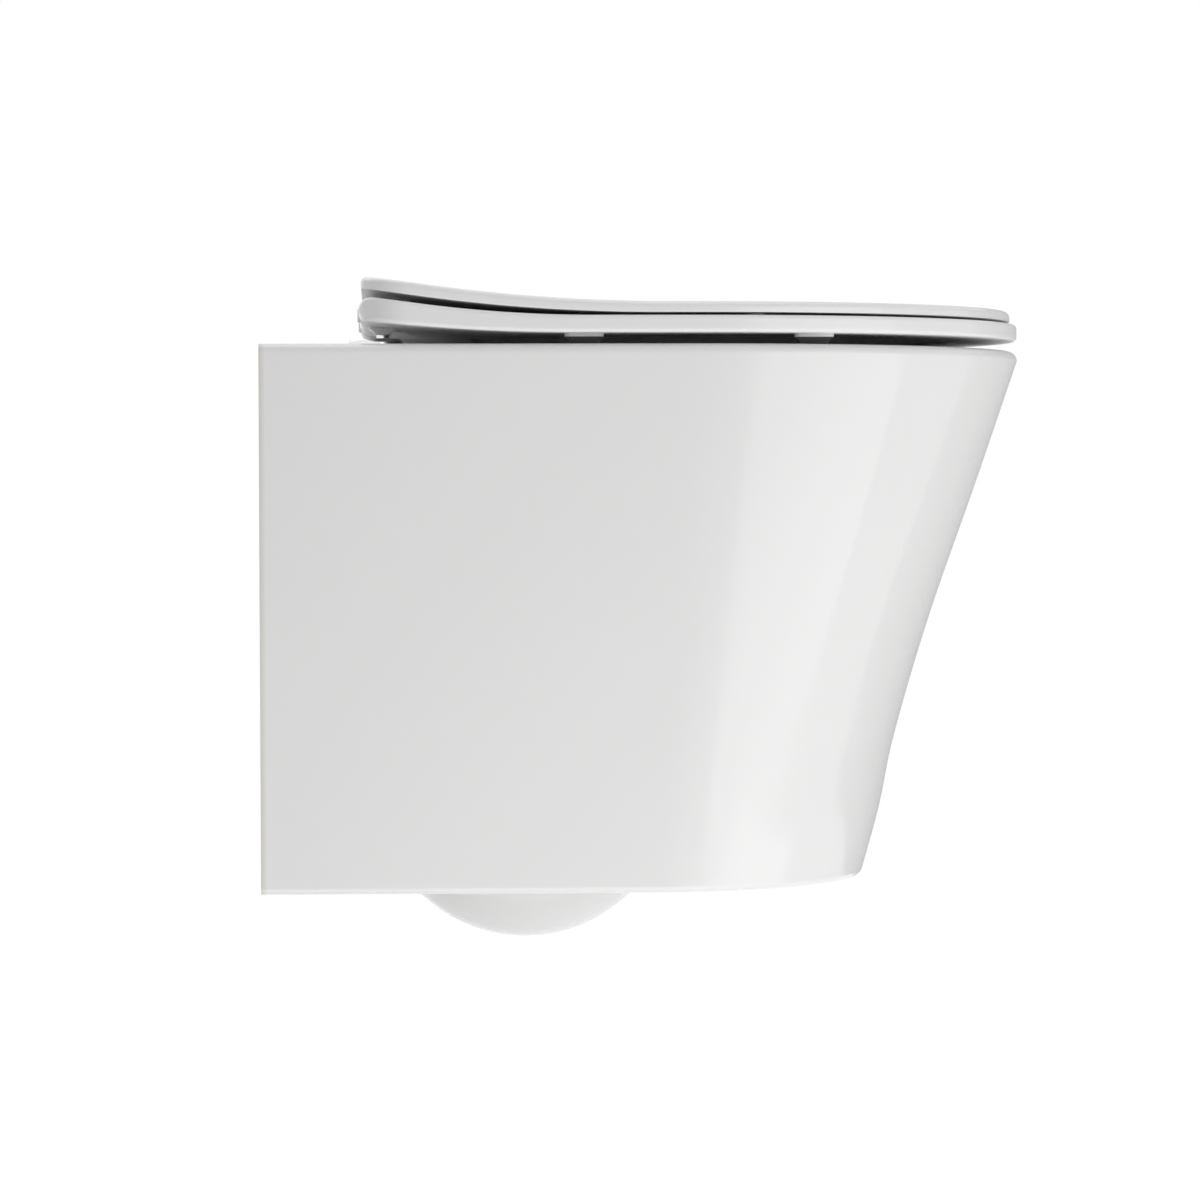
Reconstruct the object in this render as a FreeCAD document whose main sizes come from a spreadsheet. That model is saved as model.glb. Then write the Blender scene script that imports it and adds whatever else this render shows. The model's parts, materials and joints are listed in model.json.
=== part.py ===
"""Wall hung toilet with a slim lift-off seat and lid.

Millimetres. The origin is midway between the two wall fixing rods, on the wall's
face. X leaves the wall, Y runs along it, and Z is up. The hinges at Y < 0 are
called left ones.
"""

import FreeCAD, Part
import math
import os
import re
import Sketcher
from FreeCAD import Placement, Rotation, Vector

# Every driving size: its name, its value, and what it measures.
SIZES = (
    # pan, outside: six levels of one D shaped outline, from the rim to the foot
    ("deck_height", 80, "top of the deck above the wall rods"),
    ("rim_reach", 481.3, "front of the rim from the wall, before rounding"),
    ("rim_run", 265, "straight length of its sides"),
    ("rim_half", 180, "half of its width"),
    ("upper_drop", 85, "level below the deck"),
    ("upper_reach", 451.9, ""),
    ("upper_run", 258, ""),
    ("upper_half", 177.5, ""),
    ("middle_drop", 170, ""),
    ("middle_reach", 421.8, ""),
    ("middle_run", 252, ""),
    ("middle_half", 174, ""),
    ("lower_drop", 246, ""),
    ("lower_reach", 399.3, ""),
    ("lower_run", 247, ""),
    ("lower_half", 170, ""),
    ("ankle_drop", 290, ""),
    ("ankle_reach", 390, ""),
    ("ankle_run", 243, ""),
    ("ankle_half", 167.5, ""),
    ("foot_drop", 332, "lower edge of the skirt"),
    ("foot_reach", 378.3, ""),
    ("foot_run", 239, ""),
    ("foot_half", 165, ""),
    ("roundness", 0.5523, "pull of the ovals; this value draws an ellipse"),
    ("rim_edge", 6, "rounding of the outer edge of the deck"),
    ("foot_edge", 4, "rounding of the lower edge of the skirt"),
    # pan, inside
    ("china_wall", 11, "thickness of the casting"),
    ("deck_thickness", 14, ""),
    ("rear_wall", 12, "wall that bears on the building's wall"),
    ("rear_notch_top", -182, "open lower part of the rear wall, level of its top"),
    ("rear_notch_half", 140, ""),
    ("rear_notch_corner", 30, "rounding of its two upper corners"),
    ("mouth_centre", 287, "opening of the bowl, distance from the wall"),
    ("mouth_length_half", 163, ""),
    ("mouth_half", 142, ""),
    ("mouth_depth", 52, "upright wall under the rim"),
    ("mouth_edge", 7, "rounding of the rim's inner edge"),
    ("ledge_width", 9, "ledge that guides the flushing water"),
    ("bowl_drop", 120, "upper level of the slope, below the deck"),
    ("bowl_centre", 271, ""),
    ("bowl_length_half", 124, ""),
    ("bowl_half", 106, ""),
    ("throat_drop", 190, ""),
    ("throat_centre", 245, ""),
    ("throat_length_half", 80, ""),
    ("throat_half", 68, ""),
    ("sump_drop", 238, ""),
    ("sump_centre", 225, ""),
    ("sump_length_half", 47, ""),
    ("sump_half", 44, ""),
    # trap and outlet
    ("trap_bore", 36, "radius of the passage"),
    ("trap_bend", 48, "radius of its centre line in the bends"),
    ("trap_leg", 49, "upright length between the two bends"),
    ("trap_lip", 22, "upright end of the passage, in the foot of the bowl"),
    ("trap_step", 2, "by which the foot of the bowl is narrower than the passage"),
    ("outlet_drop", 100, "outlet below the rods"),
    ("outlet_straight", 68.5, "level length of the passage at the wall"),
    ("outlet_radius", 51, "outside of the spigot"),
    ("outlet_length", 50, ""),
    ("outlet_room", 14, "room round the spigot for its socket"),
    # flush inlet
    ("inlet_rise", 35, "inlet above the rods"),
    ("inlet_radius", 27.5, "socket for the flush pipe"),
    ("inlet_depth", 50, ""),
    ("inlet_passage", 19, "radius of the way into the bowl"),
    # wall fixing
    ("rod_spacing", 180, ""),
    ("rod_radius", 6, ""),
    ("rod_room", 0.5, "room round a rod in its sleeve"),
    ("boss_radius", 24, ""),
    ("boss_length", 33, "boss behind the rear wall"),
    ("sleeve_wall", 4.5, ""),
    ("sleeve_flange", 3, ""),
    ("sleeve_flange_radius", 19, ""),
    ("washer_radius", 15, ""),
    ("washer_thickness", 2.5, ""),
    ("nut_flats", 19, "across the flats"),
    ("nut_height", 10, ""),
    ("nut_room", 0.1, "thread depth left out round a rod"),
    ("seat_fit", 0.2, "gap where a piece seats on another"),
    # hinge posts
    ("post_spacing", 155, "seat fixing holes"),
    ("post_hole_x", 70, "their distance from the wall"),
    ("post_hole_radius", 7, ""),
    ("post_offset", 4.5, "post ahead of the middle of its hole"),
    ("post_radius", 4, ""),
    ("post_top", 26, "above the deck"),
    ("post_neck", 3.2, "radius in the groove"),
    ("post_tip", 1.2, "bevel at the top"),
    ("gasket_thickness", 0.8, ""),
    ("gasket_radius", 15.5, ""),
    ("cap_radius", 16.9, "chrome cap over the hole"),
    ("cap_height", 5.6, ""),
    ("cap_edge", 2.4, ""),
    ("cap_wall", 1.2, ""),
    ("flange_radius", 12, "flange of the post, under the cap"),
    ("flange_thickness", 2.2, ""),
    ("shank_radius", 4, "threaded end through the deck"),
    ("shank_length", 44, "below the flange"),
    ("cone_length", 9, "centring cone, part inside the hole"),
    ("cone_bite", 5, "length that is inside the hole"),
    ("cone_radius", 13, ""),
    ("cone_flange", 3, ""),
    ("plate_thickness", 1.6, "steel washer"),
    ("plate_radius", 10, ""),
    ("wing_height", 9, "wing nut"),
    ("wing_hub", 8, ""),
    ("wing_span", 36, ""),
    ("wing_thickness", 3.2, ""),
    ("wing_edge", 1.4, ""),
    # hinge
    ("axis_x", 67, "hinge axis from the wall"),
    ("axis_rise", 21, "hinge axis above the deck"),
    ("barrel_radius", 8, ""),
    ("hinge_inner", 61, "inboard end of a hinge body"),
    ("hinge_outer", 106, "outboard end"),
    ("foot_rise", 8.8, "lowest face of a hinge body above the deck"),
    ("foot_half_length", 4.2, "half of that face, along X"),
    ("foot_half_width", 11, "half of the foot, along Y"),
    ("foot_nose", 85.2, "front of the foot from the wall"),
    ("foot_slope_top", 6.8, "height of the sloping sides"),
    ("foot_corner", 1.6, ""),
    ("post_room", 0.06, "running gap round a post"),
    ("socket_room", 0.2, "above a post"),
    ("knuckle_gap", 0.3, "between neighbours on the hinge axis"),
    ("lug_width", 12, ""),
    ("pin_radius", 2.5, ""),
    ("pin_hold", 8, "length held in the hinge body"),
    ("pin_reach", 11, "length that carries the knuckle"),
    ("turn_room", 0.05, "running gap on the pins"),
    ("damper_radius", 5.8, ""),
    ("damper_length", 19, ""),
    ("rotor_radius", 3, ""),
    ("rotor_flats", 4.2, "across its two flats"),
    ("rotor_hold", 3, "length inside the damper"),
    ("rotor_reach", 11, "length inside the knuckle"),
    # latch and button
    ("clip_wire", 0.7, "radius of the spring wire"),
    ("clip_gap", 0.05, "between the wire and the groove"),
    ("clip_tail", 7, "legs, back from the post"),
    ("clip_room", 0.35, "slot round the wire"),
    ("groove_room", 0.3, "groove above and below the wire"),
    ("button_width", 9, ""),
    ("button_height", 8.6, ""),
    ("button_edge", 0.9, ""),
    ("button_front", 9.9, "front of its block, back from the post"),
    ("button_proud", 0.2, "behind the barrel"),
    ("button_nose", 3.2, "wedge ahead of the block"),
    ("button_tip_width", 5.8, ""),
    ("button_room", 0.2, ""),
    ("button_travel", 2.5, ""),
    # seat
    ("seat_reach", 479, "front of the seat from the wall"),
    ("seat_run", 265, ""),
    ("seat_half", 180, ""),
    ("seat_corner", 30, "rear corners in plan"),
    ("seat_under", 6.6, "underside above the deck"),
    ("seat_thickness", 10.5, ""),
    ("seat_top_start", 200, "where its top starts to rise"),
    ("seat_top_bend", 790, ""),
    ("seat_under_start", 190, ""),
    ("seat_under_bend", 1110, ""),
    ("seat_edge", 2.6, ""),
    ("hole_centre", 281, "opening of the seat"),
    ("hole_length_half", 151, ""),
    ("hole_half", 112, ""),
    ("hole_edge", 3, ""),
    ("notch_radius", 20.5, "room for the hinge bodies, from the axis"),
    ("trim_margin", 8, "excess that is cut away outside the outlines"),
    # lid
    ("lid_reach", 474.5, ""),
    ("lid_half", 178.5, ""),
    ("lid_under", 18.7, "underside above the deck"),
    ("lid_thickness", 6.7, ""),
    ("lid_top_start", 247, ""),
    ("lid_top_bend", 1080, ""),
    ("lid_under_start", 240, ""),
    ("lid_under_bend", 1060, ""),
    ("lid_rear", 61.2, ""),
    ("lid_corner", 30, ""),
    ("lid_edge", 4, ""),
    ("lid_lower_edge", 0.8, "rounding of the lid's lower edge"),
    ("lid_recess", 1.6, "hollow of the underside"),
    ("lid_border", 30, "width left round that hollow"),
    ("lug_radius", 7.5, ""),
    ("lug_root", 3, "half length of the web that joins a lug to the lid"),
    ("lug_bite", 3, "height of that web inside the lid"),
    # buffers
    ("pad_length", 24, "seat buffers"),
    ("pad_width", 11, ""),
    ("pad_corner", 3.6, ""),
    ("pad_edge", 1.2, "rounding of the face that rests on the rim"),
    ("pad_rear_x", 196, ""),
    ("pad_rear_y", 161, ""),
    ("pad_front_x", 336, ""),
    ("pad_front_y", 153, ""),
    ("pad_gap", 0.3, "above what it rests on"),
    ("pad_plug", 3, "depth in its socket"),
    ("pad_plug_radius", 3.5, ""),
    ("dot_radius", 6, "lid buffers"),
    ("dot_side_x", 300, ""),
    ("dot_side_y", 156, ""),
    ("dot_front_x", 455, ""),
    ("dot_front_y", 40, ""),
    ("dot_edge", 0.4, ""),
    ("dot_plug", 2.5, ""),
    ("dot_plug_radius", 3, ""),
)

doc = FreeCAD.newDocument("wall_hung_toilet")
sheet = doc.addObject("Spreadsheet::Sheet", "Sizes")
for row, (alias, value, note) in enumerate(SIZES, 1):
    sheet.set(f"A{row}", alias)
    sheet.set(f"B{row}", str(value))
    sheet.set(f"C{row}", note)
    sheet.setAlias(f"B{row}", alias)
doc.recompute()
NAMES = {alias for alias, value, note in SIZES}


# ---------------------------------------------------------------- sketching


def cells(text):
    """An expression with each size's name pointed at its cell."""
    return re.sub(r"[a-z][a-z_]*", lambda m: "Sizes." + m[0] if m[0] in NAMES else m[0], text)


def value(text):
    """What an expression of sizes comes to."""
    return float(sheet.evalExpression(cells(text)))


def new_body(label):
    body = doc.addObject("PartDesign::Body", label)
    body.Label = label
    return body


class Drawing:
    """A sketch on one of its body's origin planes, moved along that plane's normal."""

    def __init__(self, body, name, role, offset="0"):
        plane = next(f for f in body.Origin.OriginFeatures if f.Role == role)
        self.sketch = body.newObject("Sketcher::SketchObject", name)
        self.sketch.AttachmentSupport = (plane, [""])
        self.sketch.MapMode = "FlatFace"
        self.sketch.AttachmentOffset = Placement(Vector(0, 0, value(offset)), Rotation())
        self.sketch.setExpression("AttachmentOffset.Base.z", cells(offset))

    def rule(self, kind, *where, size=None):
        """Add a constraint, bound to an expression of sizes where it has one."""
        if size is None:
            return self.sketch.addConstraint(Sketcher.Constraint(kind, *where))
        number = self.sketch.addConstraint(Sketcher.Constraint(kind, *where, value(size)))
        name = f"size_{number}"
        self.sketch.renameConstraint(number, name)
        self.sketch.setExpression(f"Constraints.{name}", cells(size))
        return number

    def place(self, shape, point, x, y):
        """Hold one point of a shape at x and y."""
        self.rule("DistanceX", -1, 1, shape, point, size=x)
        self.rule("DistanceY", -1, 1, shape, point, size=y)

    def join(self, shapes):
        """Close a loop: each shape's end meets the next one's start."""
        for here, there in zip(shapes, shapes[1:] + shapes[:1]):
            self.rule("Coincident", here, 2, there, 1)

    def line(self, start, end):
        points = [Vector(value(x), value(y), 0) for x, y in (start, end)]
        return self.sketch.addGeometry(Part.LineSegment(*points))

    def polygon(self, points):
        lines = [self.line(a, b) for a, b in zip(points, points[1:] + points[:1])]
        self.join(lines)
        for shape, (x, y) in zip(lines, points):
            self.place(shape, 1, x, y)
        return lines

    def box(self, x0, y0, x1, y1):
        return self.polygon([(x0, y0), (x1, y0), (x1, y1), (x0, y1)])

    def circle(self, x, y, radius):
        centre = Vector(value(x), value(y), 0)
        shape = self.sketch.addGeometry(Part.Circle(centre, Vector(0, 0, 1), value(radius)))
        self.rule("Radius", shape, size=radius)
        self.place(shape, 3, x, y)
        return shape

    def arc(self, centre, radius, start, end):
        """An arc whose ends are joined later. start and end are in degrees."""
        middle = Vector(value(centre[0]), value(centre[1]), 0)
        ring = Part.Circle(middle, Vector(0, 0, 1), radius)
        angles = math.radians(start), math.radians(end)
        return self.sketch.addGeometry(Part.ArcOfCircle(ring, *angles))

    def quarter(self, start, corner, end):
        """A quarter of an oval that leaves start towards corner and comes to end."""
        pull = "roundness * (({1}) - ({0})) + ({0})"
        first = [pull.format(a, b) for a, b in zip(start, corner)]
        second = [pull.format(a, b) for a, b in zip(end, corner)]
        poles = [Vector(value(x), value(y), 0) for x, y in (start, first, second, end)]
        curve = Part.BSplineCurve(poles, [4, 4], [0, 1], False, 3)
        shape = self.sketch.addGeometry(curve)
        pole = self.sketch.GeometryCount
        self.sketch.exposeInternalGeometry(shape)
        self.place(pole + 1, 3, *first)
        self.place(pole + 2, 3, *second)
        return shape

    def oval(self, centre, length_half, half):
        """A whole oval about (centre, 0)."""
        front, rear = f"({centre}) + ({length_half})", f"({centre}) - ({length_half})"
        corners = [(front, half), (rear, half), (rear, f"-({half})"), (front, f"-({half})")]
        points = [(front, "0"), (centre, half), (rear, "0"), (centre, f"-({half})")]
        shapes = [
            self.quarter(here, corner, there)
            for here, corner, there in zip(points, corners, points[1:] + points[:1])
        ]
        self.join(shapes)
        for shape, point in zip(shapes, points):
            self.place(shape, 1, *point)
        return shapes

    def d_outline(self, rear, run, reach, half):
        """Straight sides from rear to run, closed in front by half an oval."""
        low, high = f"-({half})", f"({half})"
        shapes = [
            self.line((rear, high), (rear, low)),
            self.line((rear, low), (run, low)),
            self.quarter((run, low), (reach, low), (reach, "0")),
            self.quarter((reach, "0"), (reach, high), (run, high)),
            self.line((run, high), (rear, high)),
        ]
        points = [(rear, high), (rear, low), (run, low), (reach, "0"), (run, high)]
        self.join(shapes)
        for shape, point in zip(shapes, points):
            self.place(shape, 1, *point)
        return shapes


# ----------------------------------------------------------------- features


def feature(body, kind, profile, **settings):
    """A feature of a body on one sketch. Text settings are expressions of sizes."""
    made = body.newObject(f"PartDesign::{kind}", kind)
    made.Profile = profile.sketch
    apply(made, settings)
    doc.recompute()
    return made


def apply(made, settings):
    for name, setting in settings.items():
        if isinstance(setting, str) and name in ("Length", "Length2", "Radius", "Size"):
            made.setExpression(name, cells(setting))
        else:
            setattr(made, name, setting)


def loft(body, kind, drawings):
    made = body.newObject(f"PartDesign::{kind}Loft", kind + "Loft")
    made.Profile = drawings[0].sketch
    made.Sections = [d.sketch for d in drawings[1:]]
    doc.recompute()
    return made


def pipe(body, kind, profile, spine):
    made = body.newObject(f"PartDesign::{kind}Pipe", kind + "Pipe")
    made.Profile = profile.sketch
    made.Spine = (spine.sketch, [])
    doc.recompute()
    return made


def cylinder(body, name, role, x, y, radius, start, end, cut=False):
    """A round pad or pocket from start to end along the plane's normal."""
    drawing = Drawing(body, name, role, end if cut else start)
    drawing.circle(x, y, radius)
    length = f"({end}) - ({start})"
    return feature(body, "Pocket" if cut else "Pad", drawing, Length=length)


def block(body, name, role, corners, start, end, cut=False):
    """A pad or pocket of a box drawn from one corner to the other."""
    drawing = Drawing(body, name, role, end if cut else start)
    drawing.box(*corners)
    length = f"({end}) - ({start})"
    return feature(body, "Pocket" if cut else "Pad", drawing, Length=length)


def edges(shape, wanted):
    """Names of the edges that wanted() picks."""
    return [f"Edge{n}" for n, edge in enumerate(shape.Edges, 1) if wanted(edge)]


def soften(body, kind, size, wanted):
    """A Fillet or Chamfer on the edges that wanted() picks from the body as it is."""
    base = body.Tip
    made = body.newObject(f"PartDesign::{kind}", kind)
    made.Base = (base, edges(base.Shape, wanted))
    made.setExpression("Radius" if kind == "Fillet" else "Size", cells(size))
    doc.recompute()
    return made


def level(edge, height):
    """Whether an edge lies flat at a height."""
    box = edge.BoundBox
    return abs(box.ZMin - value(height)) < 0.01 and abs(box.ZMax - value(height)) < 0.01


def right_hand(label, body):
    """The mirror image of a left hand piece, across the middle plane."""
    mirror = doc.addObject("Part::Mirroring", label)
    mirror.Source = body
    mirror.Normal = (0, 1, 0)
    mirror.Label = label
    return mirror


def both_sides(label, *bodies):
    """Left hand pieces and their mirror images, as one sub-part."""
    pair = doc.addObject("Part::Compound", label)
    mirrors = [right_hand(body.Label.replace("left", "right"), body) for body in bodies]
    pair.Links = list(bodies) + mirrors
    pair.Label = label
    return pair


# ---------------------------------------------------------------------- pan

LEVELS = ("upper", "middle", "lower", "ankle", "foot")
UNDER_DECK = "deck_height - deck_thickness"


def pan():
    body = new_body("pan")
    outer_skirt(body)
    inner_skirt(body)
    castings_inside(body)
    waterway(body)
    pan_holes(body)
    return body


def outer_skirt(body):
    """The outside, drawn past the wall and cut off flat on it."""
    margin = "trim_margin"
    rim = Drawing(body, "rim_outline", "XY_Plane", "deck_height")
    rim.d_outline(f"-{margin}", "rim_run", "rim_reach", "rim_half")
    sections = [rim]
    for name in LEVELS:
        drawing = Drawing(body, f"{name}_outline", "XY_Plane", f"deck_height - {name}_drop")
        drawing.d_outline(f"-{margin}", f"{name}_run", f"{name}_reach", f"{name}_half")
        sections.append(drawing)
    loft(body, "Additive", sections)
    corners = (f"-2 * {margin}", f"-rim_half - {margin}", "0", f"rim_half + {margin}")
    ends = ("deck_height - foot_drop - 1", "deck_height + 1")
    block(body, "wall_side", "XY_Plane", corners, *ends, cut=True)
    soften(body, "Fillet", "rim_edge", lambda e: level(e, "deck_height") and e.BoundBox.XMax > 1)


def inner_skirt(body):
    """The hollow under the deck, one wall in from the outside and open below."""
    share = "(deck_thickness / upper_drop)"
    roof = Drawing(body, "roof_outline", "XY_Plane", UNDER_DECK)
    reach = f"rim_reach - china_wall - (rim_reach - upper_reach) * {share}"
    half = f"rim_half - china_wall - (rim_half - upper_half) * {share}"
    roof.d_outline("rear_wall", "rim_run", reach, half)
    sections = [roof]
    for name in LEVELS:
        drawing = Drawing(body, f"{name}_hollow", "XY_Plane", f"deck_height - {name}_drop")
        reach, half = f"{name}_reach - china_wall", f"{name}_half - china_wall"
        drawing.d_outline("rear_wall", f"{name}_run", reach, half)
        sections.append(drawing)
    loft(body, "Subtractive", sections)
    foot, wall = "deck_height - foot_drop", value("rear_wall")
    soften(body, "Fillet", "foot_edge", lambda e: level(e, foot) and e.BoundBox.XMax > wall + 1)
    corners = ("-rear_notch_half", f"{foot} - 1", "rear_notch_half", "rear_notch_top")
    block(body, "rear_notch", "YZ_Plane", corners, "-1", "rear_wall + 1", cut=True)
    soften(body, "Fillet", "rear_notch_corner", crosses_rear_wall)


def crosses_rear_wall(edge):
    """Whether an edge runs through the rear wall at the top of its notch."""
    box = edge.BoundBox
    along = box.YLength < 0.01 and box.ZLength < 0.01
    return along and abs(box.ZMin - value("rear_notch_top")) < 0.01


BOWL = (
    ("bowl", "bowl_drop"),
    ("throat", "throat_drop"),
    ("sump", "sump_drop"),
)
SUMP_FLOOR = "-outlet_drop - trap_bend - trap_leg"
SUMP_X = "outlet_straight + 3 * trap_bend"


def bowl_sections(body, name, wall):
    """The sloping bowl, from the ledge down to the trap, moved out by wall."""
    length = f"mouth_length_half - ledge_width + {wall}"
    half = f"mouth_half - ledge_width + {wall}"
    top = Drawing(body, f"{name}_ledge", "XY_Plane", "deck_height - mouth_depth")
    top.oval("mouth_centre", length, half)
    sections = [top]
    for part, drop in BOWL:
        drawing = Drawing(body, f"{name}_{part}", "XY_Plane", f"deck_height - {drop}")
        drawing.oval(f"{part}_centre", f"{part}_length_half + {wall}", f"{part}_half + {wall}")
        sections.append(drawing)
    floor = Drawing(body, f"{name}_floor", "XY_Plane", SUMP_FLOOR)
    foot = f"trap_bore - trap_step + {wall}"
    floor.oval(SUMP_X, foot, foot)
    return sections + [floor]


def trap_spine(body, name):
    """Centre line: level from the wall, down, round the water seal and up to the bowl."""
    spine = Drawing(body, name, "XZ_Plane")
    over, low = "outlet_straight + trap_bend", "-outlet_drop - trap_bend"
    floor = SUMP_FLOOR
    bend = value("trap_bend")
    level_run = spine.line(("0", "-outlet_drop"), ("outlet_straight", "-outlet_drop"))
    upper = spine.arc(("outlet_straight", low), bend, 0, 90)
    leg = spine.line((over, low), (over, floor))
    lower = spine.arc((f"{over} + trap_bend", floor), bend, 180, 360)
    lip = spine.line((SUMP_X, floor), (SUMP_X, f"{floor} + trap_lip"))
    spine.rule("Coincident", level_run, 2, upper, 2)
    spine.rule("Coincident", upper, 1, leg, 1)
    spine.rule("Coincident", leg, 2, lower, 1)
    spine.rule("Coincident", lower, 2, lip, 1)
    spine.place(level_run, 1, "0", "-outlet_drop")
    spine.place(level_run, 2, "outlet_straight", "-outlet_drop")
    spine.place(leg, 1, over, low)
    spine.place(leg, 2, over, floor)
    spine.rule("DistanceX", -1, 1, upper, 3, size="outlet_straight")
    spine.place(lower, 3, f"{over} + trap_bend", floor)
    spine.rule("DistanceY", -1, 1, lower, 2, size=floor)
    spine.place(lip, 2, SUMP_X, f"{floor} + trap_lip")
    return spine


def castings_inside(body):
    """Bowl, trap, outlet spigot, inlet socket and rod bosses, all still solid."""
    rim_wall = Drawing(body, "mouth_wall", "XY_Plane", "deck_height - mouth_depth")
    rim_wall.oval("mouth_centre", "mouth_length_half + china_wall", "mouth_half + china_wall")
    feature(body, "Pad", rim_wall, Length="mouth_depth - deck_thickness / 2")
    loft(body, "Additive", bowl_sections(body, "bowl_outer", "china_wall"))
    trap = Drawing(body, "trap_outer", "YZ_Plane", "0")
    trap.circle("0", "-outlet_drop", "trap_bore + china_wall")
    pipe(body, "Additive", trap, trap_spine(body, "trap_line"))
    outlet, inlet = ("YZ_Plane", "0", "-outlet_drop"), ("YZ_Plane", "0", "inlet_rise")
    cylinder(body, "spigot", *outlet, "outlet_radius", "0", "outlet_length")
    around, end = "inlet_radius + china_wall", "inlet_depth + china_wall"
    cylinder(body, "inlet_socket", *inlet, around, "0", end)
    around, end = "inlet_passage + china_wall", "mouth_centre - mouth_length_half"
    cylinder(body, "inlet_way", *inlet, around, "inlet_depth", end)
    for side in ("-", ""):
        y = f"{side}rod_spacing / 2"
        cylinder(body, "boss", "YZ_Plane", y, "0", "boss_radius", "0", "rear_wall + boss_length")


def waterway(body):
    """Cut the bowl, trap, outlet and inlet through."""
    mouth = Drawing(body, "mouth", "XY_Plane", "deck_height")
    mouth.oval("mouth_centre", "mouth_length_half", "mouth_half")
    feature(body, "Pocket", mouth, Length="mouth_depth")
    loft(body, "Subtractive", bowl_sections(body, "bowl_inner", "0"))
    trap = Drawing(body, "trap_inner", "YZ_Plane", "0")
    trap.circle("0", "-outlet_drop", "trap_bore")
    pipe(body, "Subtractive", trap, trap_spine(body, "trap_way"))
    inlet = ("YZ_Plane", "0", "inlet_rise")
    cylinder(body, "inlet_bore", *inlet, "inlet_radius", "0", "inlet_depth", cut=True)
    cylinder(body, "inlet_mouth", *inlet, "inlet_passage", "0", "mouth_centre", cut=True)
    soften(body, "Fillet", "mouth_edge", lambda e: level(e, "deck_height") and inside_mouth(e))


def inside_mouth(edge):
    return edge.BoundBox.XMin > value("mouth_centre - mouth_length_half") - 1 and (
        edge.BoundBox.XMax < value("mouth_centre + mouth_length_half") + 1
    )


def pan_holes(body):
    """Room round the spigot, the rod holes and the seat fixing holes."""
    room = Drawing(body, "outlet_room", "YZ_Plane", "rear_wall + 1")
    room.circle("0", "-outlet_drop", "outlet_radius + outlet_room")
    room.circle("0", "-outlet_drop", "outlet_radius")
    feature(body, "Pocket", room, Length="rear_wall + 2")
    for side in ("-", ""):
        y = f"{side}rod_spacing / 2"
        hole = "rod_radius + rod_room + sleeve_wall + seat_fit"
        end = "rear_wall + boss_length + 1"
        cylinder(body, "rod_hole", "YZ_Plane", y, "0", hole, "-1", end, cut=True)
        place = ("XY_Plane", "post_hole_x", f"{side}post_spacing / 2")
        start, end = f"{UNDER_DECK} - 1", "deck_height + 1"
        cylinder(body, "post_hole", *place, "post_hole_radius", start, end, cut=True)


# -------------------------------------------------------------- wall fixing

FLANGE_FACE = "rear_wall + boss_length + seat_fit + sleeve_flange"


def rod_sleeve():
    """Liner of a rod hole, with a flange on the front of its boss."""
    body = new_body("rod_sleeve_left")
    rod, bore = ("YZ_Plane", "-rod_spacing / 2", "0"), "rod_radius + rod_room"
    face = "rear_wall + boss_length + seat_fit"
    cylinder(body, "liner", *rod, f"{bore} + sleeve_wall", "seat_fit", face)
    cylinder(body, "liner_flange", *rod, "sleeve_flange_radius", face, FLANGE_FACE)
    cylinder(body, "liner_bore", *rod, bore, "0", f"{FLANGE_FACE} + 1", cut=True)
    return body


def rod_washer():
    body = new_body("rod_washer_left")
    drawing = Drawing(body, "washer", "YZ_Plane", FLANGE_FACE)
    drawing.circle("-rod_spacing / 2", "0", "washer_radius")
    drawing.circle("-rod_spacing / 2", "0", "rod_radius + rod_room")
    feature(body, "Pad", drawing, Length="washer_thickness")
    return body


def hexagon(drawing, x, y, flats):
    """A hexagon about (x, y) with two of its corners on the sketch's level line."""
    corner, side = f"({flats}) / 2 / cos(30)", f"({flats}) / 2"
    points = [
        (f"{x} + {corner}", y),
        (f"{x} + {corner} / 2", f"{y} + {side}"),
        (f"{x} - {corner} / 2", f"{y} + {side}"),
        (f"{x} - {corner}", y),
        (f"{x} - {corner} / 2", f"{y} - {side}"),
        (f"{x} + {corner} / 2", f"{y} - {side}"),
    ]
    drawing.polygon(points)


def rod_nut():
    body = new_body("rod_nut_left")
    drawing = Drawing(body, "nut", "YZ_Plane", f"{FLANGE_FACE} + washer_thickness")
    hexagon(drawing, "-rod_spacing / 2", "0", "nut_flats")
    drawing.circle("-rod_spacing / 2", "0", "rod_radius + nut_room")
    feature(body, "Pad", drawing, Length="nut_height")
    return body


# -------------------------------------------------------------- hinge posts

POST_X = "post_hole_x + post_offset"
POST_Y = "-post_spacing / 2"
POST_HOLE = ("XY_Plane", "post_hole_x", POST_Y)
POST = ("XY_Plane", POST_X, POST_Y)
AXIS_Z = "deck_height + axis_rise"


def gasket():
    """Soft disc under the flange, on the glaze."""
    body = new_body("post_gasket_left")
    drawing = Drawing(body, "gasket", "XY_Plane", "deck_height")
    drawing.circle("post_hole_x", POST_Y, "gasket_radius")
    drawing.circle("post_hole_x", POST_Y, "shank_radius + seat_fit")
    feature(body, "Pad", drawing, Length="gasket_thickness")
    return body


def post():
    """Flanged stud: a threaded end below, and a grooved post to one side above."""
    body = new_body("hinge_post_left")
    base, top = "deck_height + gasket_thickness", "deck_height + post_top"
    cylinder(body, "flange", *POST_HOLE, "flange_radius", base, f"{base} + flange_thickness")
    cylinder(body, "shank", *POST_HOLE, "shank_radius", f"{base} - shank_length", base)
    cylinder(body, "post", *POST, "post_radius", base, top)
    groove = "clip_wire + groove_room"
    ring = Drawing(body, "groove", "XY_Plane", f"{AXIS_Z} + {groove}")
    ring.circle(POST_X, POST_Y, "post_radius + 1")
    ring.circle(POST_X, POST_Y, "post_neck")
    feature(body, "Pocket", ring, Length=f"2 * ({groove})")
    soften(body, "Chamfer", "post_tip", lambda e: level(e, top))
    return body


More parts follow.
